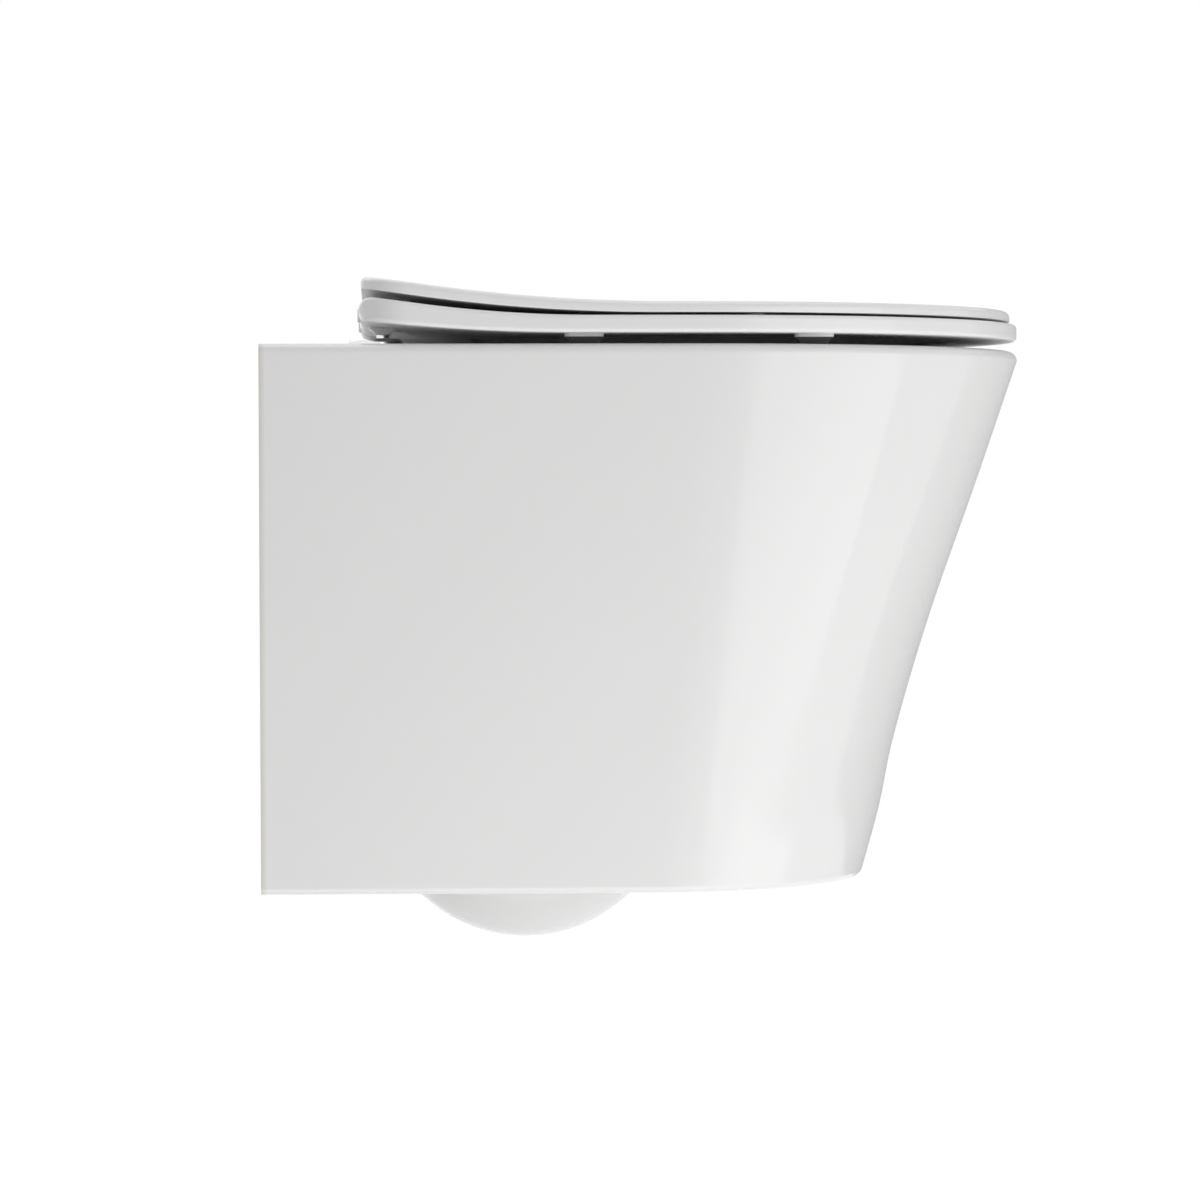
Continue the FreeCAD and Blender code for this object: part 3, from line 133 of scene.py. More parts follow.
# button and its window: half width and height, span from the wall; the wedge in plan
BUTTON, BUTTON_SPAN = (4.5, 4.3), (58.8, 64.6)
WINDOW, WINDOW_SPAN = (4.7, 4.5), (57, 67.3)
WEDGE = [(64, -4.2), (67.8, -2.9), (67.8, 2.9), (64, 4.2)]

# seat and lid: rounded plates whose faces curve up to the rear
SEAT = {
    "rear": 59.55, "run": 265, "reach": 479, "half": 180, "corner": 30,
    "under": (86.6, 190, 1110), "top": (97.1, 200, 790), "edge": 2.6,
}
SEAT_HOLE, HOLE_EDGE = (281, 151, 112), 3
LID = {
    "rear": 61.2, "run": 265, "reach": 474.5, "half": 178.5, "corner": 30,
    "under": (98.7, 240, 1060), "top": (105.4, 247, 1080), "edges": (0.8, 4),
}
LID_CENTRE = 268
LID_RECESS, LID_BORDER, LID_RECESS_REAR, LID_RECESS_CORNER = 1.6, 30, 130, 12

# pads: their middles, half sizes and corners in plan
SEAT_PADS, PAD_HALF, PAD_CORNER = ((196, -161), (336, -153)), (12, 5.5), 4.4
LID_PADS, LID_PAD, LID_PAD_SPAN = ((300, -156), (455, -40)), 6, (17.4, 18.9)
# side of a pad under the seat: distance inside its plan, height over the deck
PAD_SIDES = [(4, 0.3), (3.8, 0.7), (1.4, 3.3), (0.4, 4.1), (0, 4.5), (0, 6.6)]

# axes of the turned pieces at Y < 0: direction, and the other two coordinates
ROD_PLACE = ("x", (-ROD_Y, 0))
STUD_PLACE = ("z", (POST_HOLE_X, -POST_Y))
POST_PLACE = ("z", (POST_X, -POST_Y))
HINGE = ("y", (AXIS_X, AXIS_Z))


# ------------------------------------------------------------------- curves


def between(levels, height):
    """A row of sizes at a height, on a smooth curve through the given levels."""
    rows = sorted(levels)
    low = max(i for i in range(len(rows) - 1) if rows[i][0] <= height or i == 0)
    here, there = rows[low], rows[low + 1]
    before, after = rows[max(low - 1, 0)], rows[min(low + 2, len(rows) - 1)]
    gap = there[0] - here[0]
    t = (height - here[0]) / gap
    result = []
    for k in range(1, len(here)):
        start = (there[k] - before[k]) / (there[0] - before[0]) * gap
        end = (after[k] - here[k]) / (after[0] - here[0]) * gap
        result.append(
            (2 * t**3 - 3 * t**2 + 1) * here[k]
            + (t**3 - 2 * t**2 + t) * start
            + (3 * t**2 - 2 * t**3) * there[k]
            + (t**3 - t**2) * end
        )
    return result


def steps(start, end, count):
    """Evenly spaced values, both ends included."""
    return [start + (end - start) * i / count for i in range(count + 1)]


def d_outline(rear, run, reach, half, corner=0.0):
    """Plan of a rim: straight sides, half an oval in front, rounded rear corners."""
    side = [(x, -half) for x in steps(rear + corner, run, 22)]
    front = []
    for angle in steps(-math.pi / 2, math.pi / 2, 120)[1:]:
        front.append((run + (reach - run) * math.cos(angle), half * math.sin(angle)))
    back = [(x, half) for x in steps(run, rear + corner, 22)[1:]]
    bend = []
    if corner:
        for angle in steps(math.pi / 2, math.pi, 14)[1:]:
            x, y = rear + corner, half - corner
            bend.append((x + corner * math.cos(angle), y + corner * math.sin(angle)))
    end = [(rear, y) for y in steps(half - corner, corner - half, 30)[1:]]
    points = side + front + back + bend + end
    if corner:
        return points + [(x, -y) for x, y in reversed(bend[:-1])]
    return points[:-1]


def oval(centre, length, half):
    return [
        (centre + length * math.cos(a), half * math.sin(a))
        for a in steps(0, 2 * math.pi, 160)[:-1]
    ]


def circle(radius, centre=(0, 0)):
    return [
        (centre[0] + radius * math.cos(a), centre[1] + radius * math.sin(a))
        for a in steps(0, 2 * math.pi, SEGMENTS)[:-1]
    ]


def round_hinge(radius, angle):
    """A point round the hinge axis, in the plane across it."""
    return AXIS_X + radius * math.cos(angle), AXIS_Z + radius * math.sin(angle)


def rounded(corners, radii, count=6):
    """A polygon with its corners rounded, each by its own radius."""
    if isinstance(radii, (int, float)):
        radii = [radii] * len(corners)
    points = []
    for i, radius in enumerate(radii):
        before, here, after = (Vector(corners[(i + k) % len(corners)]) for k in (-1, 0, 1))
        if not radius:
            points.append(tuple(here))
            continue
        a, b = (before - here).normalized(), (after - here).normalized()
        half = a.angle(b) / 2
        centre = here + (a + b).normalized() * radius / math.sin(half)
        first, last = here + a * radius / math.tan(half), here + b * radius / math.tan(half)
        start = math.atan2(*(first - centre).yx)
        sweep = math.atan2(*(last - centre).yx) - start
        sweep = (sweep + math.pi) % (2 * math.pi) - math.pi
        for angle in steps(start, start + sweep, count):
            spoke = Vector((math.cos(angle), math.sin(angle)))
            points.append(tuple(centre + spoke * radius))
    return points


def rectangle(x, y, half_x, half_y):
    """Corners of a rectangle round a point, in order."""
    low, high = y - half_y, y + half_y
    return [(x - half_x, low), (x + half_x, low), (x + half_x, high), (x - half_x, high)]


def inset(points, distance):
    """A closed outline moved inwards, along the mean normal at each point."""
    area = sum(a[0] * b[1] - b[0] * a[1] for a, b in zip(points, points[1:] + points[:1]))
    turn = 1 if area > 0 else -1
    moved = []
    for i, here in enumerate(points):
        before, after = points[i - 1], points[(i + 1) % len(points)]
        a = (Vector(here) - Vector(before)).normalized()
        b = (Vector(after) - Vector(here)).normalized()
        mean = (a + b).normalized()
        normal = Vector((-mean.y, mean.x)) * turn
        stretch = 1 / max(0.4, mean.dot(a))
        moved.append(tuple(Vector(here) + normal * distance * stretch))
    return moved


# ------------------------------------------------------------------- meshes


def make(name, points, faces):
    """An object of its own from points in millimetres, with its faces turned outwards."""
    mesh = bpy.data.meshes.new(name)
    mesh.from_pydata([Vector(p) * MM for p in points], [], faces)
    work = bmesh.new()
    work.from_mesh(mesh)
    bmesh.ops.remove_doubles(work, verts=work.verts, dist=WELD)
    bmesh.ops.recalc_face_normals(work, faces=work.faces)
    work.to_mesh(mesh)
    work.free()
    piece = bpy.data.objects.new(name, mesh)
    bpy.context.scene.collection.objects.link(piece)
    return piece


def stack(name, rings, endless=False):
    """A closed skin over rings of equally many points, with flat ends or none."""
    count = len(rings[0])
    points = [p for ring in rings for p in ring]
    faces = []
    pairs = len(rings) if endless else len(rings) - 1
    for k in range(pairs):
        low, high = k * count, (k + 1) % len(rings) * count
        for i in range(count):
            j = (i + 1) % count
            faces.append((low + i, low + j, high + j, high + i))
    if not endless:
        faces.append(tuple(range(count)))
        faces.append(tuple(range(len(points) - count, len(points))))
    return make(name, points, faces)


def along(axis, u, v, w):
    """A point from two coordinates across an axis and one along it."""
    return {"x": (w, u, v), "y": (u, w, v), "z": (u, v, w)}[axis]


def lathe(name, profile, axis, centre, holed=False):
    """A turned piece. The profile is (radius, place along the axis), closed if holed."""
    rings = []
    for radius, w in profile:
        rings.append([along(axis, u, v, w) for u, v in circle(radius, centre)])
    return stack(name, rings, endless=holed)


def cylinder(name, radius, start, end, axis, centre):
    return lathe(name, [(radius, start), (radius, end)], axis, centre)


def bar(name, outline, start, end, axis, edge=0.0):
    """A prism with the rims of both its ends rounded."""
    rings = []
    if edge:
        for angle in steps(0, math.pi / 2, 5):
            rings.append((edge * (1 - math.sin(angle)), start + edge * (1 - math.cos(angle))))
        rings += [(gap, start + end - w) for gap, w in reversed(rings)]
    else:
        rings = [(0, start), (0, end)]
    return stack(name, [[along(axis, *p, w) for p in inset(outline, gap)] for gap, w in rings])


def tube(name, path, radius, flat):
    """A round bar along a path that lies in a plane. flat is that plane's normal."""
    rings = []
    for i, here in enumerate(path):
        before, after = path[max(i - 1, 0)], path[min(i + 1, len(path) - 1)]
        ahead = (Vector(after) - Vector(before)).normalized()
        side = Vector(flat).cross(ahead)
        rings.append([Vector(here) + side * u + Vector(flat) * v for u, v in circle(radius)])
    return stack(name, rings)


def cut(piece, *tools):
    """Take closed tools out of a piece. They are used up."""
    return combine(piece, "DIFFERENCE", tools)


def join(piece, *others):
    """Fuse closed pieces into the first. The others are used up."""
    return combine(piece, "UNION", others)


def combine(piece, operation, others):
    """Boolean of closed meshes, left in the first one's mesh."""
    for other in others:
        step = piece.modifiers.new(operation, "BOOLEAN")
        step.operation, step.solver, step.object = operation, "MANIFOLD", other
    shape = piece.evaluated_get(bpy.context.evaluated_depsgraph_get())
    mesh = bpy.data.meshes.new_from_object(shape)
    piece.modifiers.clear()
    piece.data = mesh
    for other in others:
        bpy.data.objects.remove(other)
    return piece


def mirrored(piece, name=None):
    """Add the mirror image of a piece to its mesh, or make it an object of its own."""
    work = bmesh.new()
    work.from_mesh(piece.data)
    if name is None:
        whole = work.verts[:] + work.edges[:] + work.faces[:]
        found = bmesh.ops.duplicate(work, geom=whole)["geom"]
    else:
        found = work.verts[:] + work.faces[:]
    verts = [g for g in found if isinstance(g, bmesh.types.BMVert)]
    faces = [g for g in found if isinstance(g, bmesh.types.BMFace)]
    bmesh.ops.scale(work, vec=(1, -1, 1), verts=verts)
    bmesh.ops.reverse_faces(work, faces=faces)
    target = piece
    if name is not None:
        target = bpy.data.objects.new(name, bpy.data.meshes.new(name))
        bpy.context.scene.collection.objects.link(target)
    work.to_mesh(target.data)
    work.free()
    return target


def dress(piece, body, slot, *nodes, crease=35, finish=None):
    """Smooth a piece, give it its finish, and set it on its body in place of nodes."""
    piece.data.materials.clear()
    piece.data.materials.append(FINISHES[finish or slot])
    piece.data.polygons.foreach_set("use_smooth", [True] * len(piece.data.polygons))
    piece.data.set_sharp_from_angle(angle=math.radians(crease))
    shade = piece.modifiers.new("shade", "WEIGHTED_NORMAL")
    shade.keep_sharp = True
    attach(piece, body)
    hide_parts(*nodes)
    return piece


# ---------------------------------------------------------------- finishes


PALE = (0.87, 0.87, 0.865)
BISCUIT = (0.72, 0.69, 0.63)
SOFT = (0.8, 0.8, 0.79)


def set_ramp(ramp, *stops):
    """Set the two stops of a colour ramp, each a place and three shares of colour."""
    for point, (place, *colour) in zip(ramp.color_ramp.elements, stops):
        point.position, point.color = place, (*colour, 1)


class Finish:
    """A material round one Principled shader."""

    def __init__(self, name, colour, roughness, **settings):
        self.material = bpy.data.materials.new(name)
        self.material.use_nodes = True
        self.tree = self.material.node_tree
        self.shader = self.tree.nodes["Principled BSDF"]
        self.shader.inputs["Base Color"].default_value = (*colour, 1)
        self.shader.inputs["Roughness"].default_value = roughness
        for socket, setting in settings.items():
            self.shader.inputs[socket.replace("_", " ")].default_value = setting
        space = self.node("ShaderNodeTexCoord")
        self.place, self.normal = space.outputs["Object"], space.outputs["Normal"]
        self.bump = None

    def node(self, kind, **inputs):
        made = self.tree.nodes.new(kind)
        for socket, setting in inputs.items():
            made.inputs[socket].default_value = setting
        return made

    def link(self, start, end):
        self.tree.links.new(start, end)

    def part(self, source, axis):
        """One axis of a place or a direction."""
        split = self.node("ShaderNodeSeparateXYZ")
        self.link(source, split.inputs["Vector"])
        return split.outputs[axis]

    def noise(self, scale, detail=3.0, stretch=None):
        texture = self.node("ShaderNodeTexNoise", Scale=scale, Detail=detail)
        place = self.place
        if stretch:
            mapping = self.node("ShaderNodeMapping", Scale=stretch)
            self.link(place, mapping.inputs["Vector"])
            place = mapping.outputs["Vector"]
        self.link(place, texture.inputs["Vector"])
        return texture.outputs["Fac"]

    def vary(self, source, socket, low, high, start=0.35, end=0.65):
        """Drive a socket with a pattern, between two numbers or two colours."""
        if isinstance(low, tuple):
            ramp = self.node("ShaderNodeValToRGB")
            set_ramp(ramp, (start, *low), (end, *high))
            self.link(source, ramp.inputs["Fac"])
            self.link(ramp.outputs["Color"], self.shader.inputs[socket])
            return
        span = self.node("ShaderNodeMapRange")
        sockets = zip(("From Min", "From Max", "To Min", "To Max"), (start, end, low, high))
        for name, setting in sockets:
            span.inputs[name].default_value = setting
        self.link(source, span.inputs["Value"])
        self.link(span.outputs["Result"], self.shader.inputs[socket])

    def relief(self, source, height, strength=1.0):
        """Bumps of a height in metres, laid over any that are there."""
        bump = self.node("ShaderNodeBump", Strength=strength, Distance=height)
        self.link(source, bump.inputs["Height"])
        if self.bump:
            self.link(self.bump.outputs["Normal"], bump.inputs["Normal"])
        self.link(bump.outputs["Normal"], self.shader.inputs["Normal"])
        self.bump = bump


def glaze():
    """Fired white glaze: deep gloss with a faint pull, and bare biscuit at the wall."""
    finish = Finish("glaze", PALE, 0.09, IOR=1.52)
    finish.vary(finish.noise(9), "Roughness", 0.08, 0.12)
    finish.relief(finish.noise(14, 1), 0.00035, 0.25)
    finish.relief(finish.noise(260, 1), 0.00001, 0.4)
    at_wall = finish.part(finish.place, "X")
    finish.vary(at_wall, "Base Color", BISCUIT, PALE, 0.0004, 0.0012)
    return finish.material


def resin():
    """Polished thermoset of the seat and lid, left satin underneath by its mould."""
    finish = Finish("seat_resin", (0.87, 0.87, 0.87), 0.12, IOR=1.5)
    finish.relief(finish.noise(420, 2), 0.000006, 0.35)
    upward = finish.part(finish.normal, "Z")
    finish.vary(upward, "Roughness", 0.5, 0.12, -0.9, -0.5)
    finish.vary(upward, "Specular IOR Level", 0.1, 0.5, -0.9, -0.5)
    return finish.material


def chrome():
    finish = Finish("chrome", (0.82, 0.83, 0.84), 0.06, Metallic=1.0)
    finish.vary(finish.noise(90), "Roughness", 0.04, 0.1)
    finish.relief(finish.noise(900, 2), 0.000003, 0.3)
    return finish.material


def zinc():
    """Bright zinc plate: a mottled, slightly warm and blue sheen."""
    finish = Finish("zinc", (0.66, 0.67, 0.68), 0.32, Metallic=1.0)
    finish.vary(finish.noise(160, 4), "Base Color", (0.6, 0.6, 0.62), (0.72, 0.72, 0.69))
    finish.vary(finish.noise(400), "Roughness", 0.25, 0.42)
    finish.relief(finish.noise(1500, 3), 0.00001, 0.4)
    return finish.material


def steel():
    finish = Finish("steel", (0.6, 0.6, 0.6), 0.25, Metallic=1.0)
    finish.vary(finish.noise(300, 3, stretch=(1, 12, 1)), "Roughness", 0.18, 0.34)
    return finish.material


def nylon():
    """Natural white nylon: slightly see-through, with a fine moulded grain."""
    finish = Finish(
        "nylon", (0.84, 0.84, 0.8), 0.45, Subsurface_Weight=0.15, Subsurface_Scale=0.002
    )
    finish.vary(finish.noise(60), "Base Color", (0.81, 0.81, 0.77), (0.86, 0.86, 0.83))
    finish.relief(finish.noise(2500, 2), 0.00002, 0.35)
    return finish.material


def damper_case():
    finish = Finish("damper_case", (0.2, 0.2, 0.21), 0.5)
    finish.vary(finish.noise(90), "Base Color", (0.17, 0.17, 0.18), (0.23, 0.23, 0.24))
    finish.relief(finish.noise(2200, 2), 0.00003, 0.5)
    return finish.material


def soft(name="soft", foot=SOFT):
    """Pale matt elastomer of the pads and gaskets. What faces down takes the colour given as
    foot, which is painted shade where that colour is dark.
    """
    finish = Finish(name, SOFT, 0.55, Subsurface_Weight=0.2, Subsurface_Scale=0.002)
    finish.vary(finish.noise(200), "Roughness", 0.48, 0.62)
    finish.relief(finish.noise(1800, 2), 0.00002, 0.3)
    # painted shade: faces turned down (normal Z under about -0.5) take the foot colour,
    # blending back to pale by about -0.16
    share = finish.node("ShaderNodeMapRange", **{"From Min": -1})
    finish.link(finish.part(finish.normal, "Z"), share.inputs["Value"])
    finish.vary(share.outputs["Result"], "Base Color", foot, SOFT, 0.25, 0.42)
    return finish.material


FINISHES = {
    "glaze": glaze(),
    "seat_resin": resin(),
    "chrome": chrome(),
    "zinc": zinc(),
    "steel": steel(),
    "nylon": nylon(),
    "damper_case": damper_case(),
    "soft": soft(),
    # seat pads' elastomer, with near black painted shade on the faces that turn down
    "soft_painted_shade": soft("soft_painted_shade", (0.08, 0.08, 0.08)),
}


# --------------------------------------------------------------------- pan


def skirt():
    """Outside of the pan, closed: rounded rim, S curved front and rounded foot."""
    rings = []
    for angle in steps(0, math.pi / 2, 8):
        lift, cut_in = FOOT_EDGE * (1 - math.cos(angle)), FOOT_EDGE * (1 - math.sin(angle))
        rings.append((FOOT + lift, cut_in))
    rings += [(z, 0) for z in steps(FOOT + FOOT_EDGE, DECK - RIM_EDGE, 64)[1:-1]]
    for angle in steps(0, math.pi / 2, 8):
        rise, cut_in = RIM_EDGE * math.sin(angle), RIM_EDGE * (1 - math.cos(angle))
        rings.append((DECK - RIM_EDGE + rise, cut_in))
    skin = []
    for z, cut_in in rings:
        reach, run, half = between(PAN_LEVELS, min(z, DECK - RIM_EDGE))
        skin.append([(x, y, z) for x, y in d_outline(0, run, reach - cut_in, half - cut_in)])
    return stack("pan_china", skin)


def hollow():
    """Space under the deck, open below, with its lower edge rounded."""
    skin = []
    flare = [(FOOT - 8, FOOT_EDGE), (FOOT, FOOT_EDGE)]
    for angle in steps(0, math.pi / 2, 8)[1:]:
        flare.append((FOOT + FOOT_EDGE * math.sin(angle), FOOT_EDGE * math.cos(angle) ** 2))
    heights = steps(FOOT + FOOT_EDGE, DECK - DECK_THICKNESS, 48)[1:]
    for z, out in flare + [(z, 0) for z in heights]:
        reach, run, half = between(PAN_LEVELS, max(z, FOOT))
        plan = d_outline(REAR_WALL, run, reach - CHINA + out, half - CHINA + out)
        skin.append([(x, y, z) for x, y in plan])
    return stack("hollow", skin)


def bowl(wall):
    """The sloping bowl down to the trap, moved out by a wall."""
    skin = []
    for z in steps(BOWL_LEVELS[-1][0], BOWL_LEVELS[0][0], 50):
        centre, length, half = between(BOWL_LEVELS, z)
        skin.append([(x, y, z) for x, y in oval(centre, length + wall, half + wall)])
    return skin


def bowl_space():
    """What is cut out of the rim and bowl: slope, ledge, upright wall, rounded rim."""
    foot = DECK - MOUTH_DEPTH
    ledge = MOUTH[1] - BOWL_LEVELS[0][2]
    skin = bowl(0)[:-1]
    for angle in steps(0, math.pi / 2, 6)[1:]:
        out = LEDGE_ROUND * (1 - math.cos(angle)) * 0.8
        skin.append(plan_ring(MOUTH, out - ledge, foot - LEDGE_ROUND * 0.3 * math.cos(angle)))
    for angle in steps(0, math.pi / 2, 6):
        out = LEDGE_ROUND * (math.sin(angle) - 1)
        skin.append(plan_ring(MOUTH, out, foot + LEDGE_ROUND * (1 - math.cos(angle))))
    for angle in steps(0, math.pi / 2, 8):
        out = MOUTH_EDGE * (1 - math.cos(angle))
        skin.append(plan_ring(MOUTH, out, DECK - MOUTH_EDGE * (1 - math.sin(angle))))
    skin.append(plan_ring(MOUTH, MOUTH_EDGE, DECK + 5))
    return stack("bowl_space", skin)


def plan_ring(plan, out, z):
    centre, length, half = plan
    return [(x, y, z) for x, y in oval(centre, length + out, half + out)]


def trap(radius, start):
    """Passage from the wall, down, round the water seal and up into the bowl."""
    upper, lower = OUTLET_RUN, OUTLET_RUN + 2 * TRAP_BEND
    low = OUTLET_Z - TRAP_BEND
    seal = low - TRAP_LEG
    path = [(x, 0, OUTLET_Z) for x in steps(start, upper, 6)]
    for angle in steps(math.pi / 2, 0, 16)[1:]:
        x, z = TRAP_BEND * math.cos(angle), TRAP_BEND * math.sin(angle)
        path.append((upper + x, 0, low + z))
    path += [(upper + TRAP_BEND, 0, z) for z in steps(low, seal, 4)[1:]]
    for angle in steps(math.pi, 2 * math.pi, 36)[1:]:
        x, z = TRAP_BEND * math.cos(angle), TRAP_BEND * math.sin(angle)
        path.append((lower + x, 0, seal + z))
    path.append((lower + TRAP_BEND, 0, seal + TRAP_LIP))
    return tube("trap", path, radius, (0, 1, 0))


def pan():
    """The china: skirt and hollow, bowl, trap, spigot, inlet, bosses and holes."""
    outlet, inlet = ("x", (0, OUTLET_Z)), ("x", (0, INLET_Z))
    body = cut(skirt(), hollow())
    cut(body, cylinder("outlet_room", SPIGOT + SPIGOT_ROOM, -2, REAR_WALL + 1, *outlet))
    centre, length, _ = MOUTH
    inlet_end = centre - length
    wall = [plan_ring(MOUTH, CHINA, z) for z in (DECK - MOUTH_DEPTH - 0.5, DECK - MOUTH_EDGE)]
    castings = [
        stack("mouth_wall", wall),
        stack("bowl_wall", bowl(CHINA)),
        trap(TRAP_BORE + CHINA, 5),
        cylinder("spigot", SPIGOT, 0, SPIGOT_LENGTH, *outlet),
        cylinder("inlet_socket", INLET + CHINA, 6, INLET_DEPTH + CHINA, *inlet),
        cylinder("inlet_neck", INLET_WAY + CHINA, INLET_DEPTH, inlet_end, *inlet),
    ]
    tools = [
        bowl_space(),
        trap(TRAP_BORE, -5),
        cylinder("inlet_bore", INLET, -5, INLET_DEPTH, *inlet),
        cylinder("inlet_way", INLET_WAY, INLET_DEPTH - 5, centre, *inlet),
        rear_notch(),
    ]
    for side in (-1, 1):
        rod, post = ("x", (side * ROD_Y, 0)), ("z", (POST_HOLE_X, side * POST_Y))
        castings.append(cylinder("boss", BOSS, 6, BOSS_END, *rod))
        tools.append(cylinder("rod_hole", ROD_HOLE, -5, BOSS_END + 5, *rod))
        low, high = DECK - DECK_THICKNESS - 3, DECK + 3
        tools.append(cylinder("post_hole", POST_HOLE, low, high, *post))
    join(body, *castings)
    cut(body, *tools)
    return dress(body, "base", "glaze", "pan")


def rear_notch():
    """Opening in the lower part of the rear wall, for the pipes."""
    low, high = FOOT - 5, NOTCH_TOP
    corners = rectangle(0, (low + high) / 2, NOTCH_HALF, (high - low) / 2)
    outline = rounded(corners, [0, 0, NOTCH_CORNER, NOTCH_CORNER], 12)
    return bar("rear_notch", outline, -5, REAR_WALL + 1, "x")


# ------------------------------------------------------------ seat and lid


def climb(face, x):
    """Height of a plate's face: level in front, on an arc behind its start."""
    height, start, bend = face
    run = max(0.0, start - x)
    return height + bend - math.sqrt(bend * bend - run * run)


def faces_at(plate, x):
    """Heights of both faces; a seat's rear closes in a half round."""
    low, high = climb(plate["under"], x), climb(plate["top"], x)
    if plate is SEAT and x < AXIS_X:
        low, high = climb(plate["under"], AXIS_X), climb(plate["top"], AXIS_X)
        middle, radius = (low + high) / 2, AXIS_X - plate["rear"]
        share = math.sqrt(max(0.0, radius**2 - (AXIS_X - x) ** 2)) / radius
        low, high = middle + (low - middle) * share, middle + (high - middle) * share
    return low, high


def fall(radius, inside):
    """How far a rounded edge has dropped at a distance inside the outline."""
    if inside >= radius:
        return 0.0
    return radius - math.sqrt(radius**2 - (radius - inside) ** 2)


def seat_ring():
    """Rings across the seat, from the opening under it to the outside and back."""
    outer = d_outline(*(SEAT[k] for k in ("rear", "run", "reach", "half", "corner")))
    centre, length, half = SEAT_HOLE
    columns = []
    for x, y in outer:
        angle = math.atan2(y, x - centre)
        reach = length * half / math.hypot(half * math.cos(angle), length * math.sin(angle))
        inner = Vector((centre + reach * math.cos(angle), reach * math.sin(angle)))
        across = Vector((x, y)) - inner
        width = across.length
        low, high = faces_at(SEAT, x)
        rim = min(SEAT["edge"], (high - low) / 2)
        insets = sorted({*spread(rim, HOLE_EDGE, width)})
        under, over = [], []
        for inside in insets:
            place = inner + across * (inside / width)
            low, high = faces_at(SEAT, place.x)
            drop = fall(HOLE_EDGE, inside) + fall(rim, width - inside)
            middle = (low + high) / 2
            under.append((*place, min(low + drop, middle)))
            over.append((*place, max(high - drop, middle)))
        columns.append(under + over[::-1])
    rings = [list(ring) for ring in zip(*columns)]
    return stack("seat_ring", rings, endless=True)


def spread(rim, hole, width):
    """Distances from the opening, close together on both rounded edges."""
    shares = [i / 30 for i in range(31)]
    near = [hole * (1 - math.cos(s * math.pi)) for s in shares[:16]]
    far = [width - max(rim, 8.0) * (1 - math.cos(s * math.pi)) for s in shares[:16]]
    middle = [near[-1] + (far[-1] - near[-1]) * s for s in shares[3:-1:3]]
    return near + middle + far


def seat_notch(start, end):
    """Room round the hinge axis for a hinge body and a lug, open to the rear."""
    radius = SEAT_NOTCH
    front = [round_hinge(radius, a) for a in steps(-math.pi / 2, math.pi / 2, 40)]
    rear = [(AXIS_X - radius, AXIS_Z + radius), (AXIS_X - radius, AXIS_Z - radius)]
    return bar("notch", front + rear, start, end, "y")


def seat():
    """The seat's ring, notched for the hinge bodies and lugs, with its two bores."""
    plate = seat_ring()
    inner, outer = HINGE_INNER - KNUCKLE_GAP, HINGE_OUTER + KNUCKLE_GAP
    room = LUG_WIDTH + KNUCKLE_GAP
    cut(
        plate,
        seat_notch(-outer, room - inner),
        seat_notch(inner, outer + room),
        cylinder("rotor_bore", SHAFT_BORE, -outer - SHAFT_REACH, 1 - outer, *HINGE),
        cylinder("pin_bore", PIN_BORE, inner - LUG_WIDTH, inner + 1, *HINGE),
    )
    return dress(plate, "seat_ring", "seat_resin", "seat", crease=40)


def lid():
    """A plate, ringed from the middle of its underside round to its top, and its lugs."""
    low_edge, high_edge = LID["edges"]
    outer = d_outline(*(LID[k] for k in ("rear", "run", "reach", "half", "corner")))
    columns = []
    for x, y in outer:
        centre = Vector((LID_CENTRE, 0))
        across = Vector((x, y)) - centre
        width = across.length
        column = []
        # side 0 is the underside, and each face is closer set near its edge
        for edge, side in ((low_edge, 0), (high_edge, 1)):
            insets = [edge * (1 - math.cos(a)) for a in steps(0, math.pi / 2, 6)]
            insets += [edge + (width * 0.97 - edge) * s**1.4 for s in steps(0, 1, 26)[1:]]
            face = []
            for inside in insets:
                place = centre + across * (1 - inside / width)
                height = faces_at(LID, place.x)[side]
                face.append((*place, height + fall(edge, inside) * (1 - 2 * side)))
            column += face if side else face[::-1]
        columns.append(column)
    plate = stack("lid_plate", [list(ring) for ring in zip(*columns)])
    reach, half = LID["reach"] - LID_BORDER, LID["half"] - LID_BORDER
    recess = d_outline(LID_RECESS_REAR, LID["run"], reach, half, LID_RECESS_CORNER)
    cut(plate, bar("recess", recess, LID["under"][0] - 5, LID["under"][0] + LID_RECESS, "z"))
    inner, outer = HINGE_INNER - KNUCKLE_GAP, HINGE_OUTER + KNUCKLE_GAP
    join(plate, lug(-inner, LUG_WIDTH - inner), lug(outer, outer + LUG_WIDTH))
    cut(
        plate,
        cylinder("pin_bore", PIN_BORE, -inner - 1, LUG_WIDTH - inner + 1, *HINGE),
        cylinder("rotor_bore", SHAFT_BORE, outer - 1, outer + LUG_WIDTH + 1, *HINGE),
    )
    return dress(plate, "cover", "seat_resin", "lid", crease=40)


def lug(start, end):
    """Knuckle on the hinge axis with the web that carries it, as one outline."""
    top = climb(LID["under"], AXIS_X) + LUG_SINK
    join_angle = math.acos(LUG_ROOT / LUG)
    bow = steps(math.pi - join_angle, 2 * math.pi + join_angle, 48)
    outline = [round_hinge(LUG, a) for a in bow]
    outline += [(AXIS_X + LUG_ROOT, top), (AXIS_X - LUG_ROOT, top)]
    return bar("lug", outline, start, end, "y", 0.5)


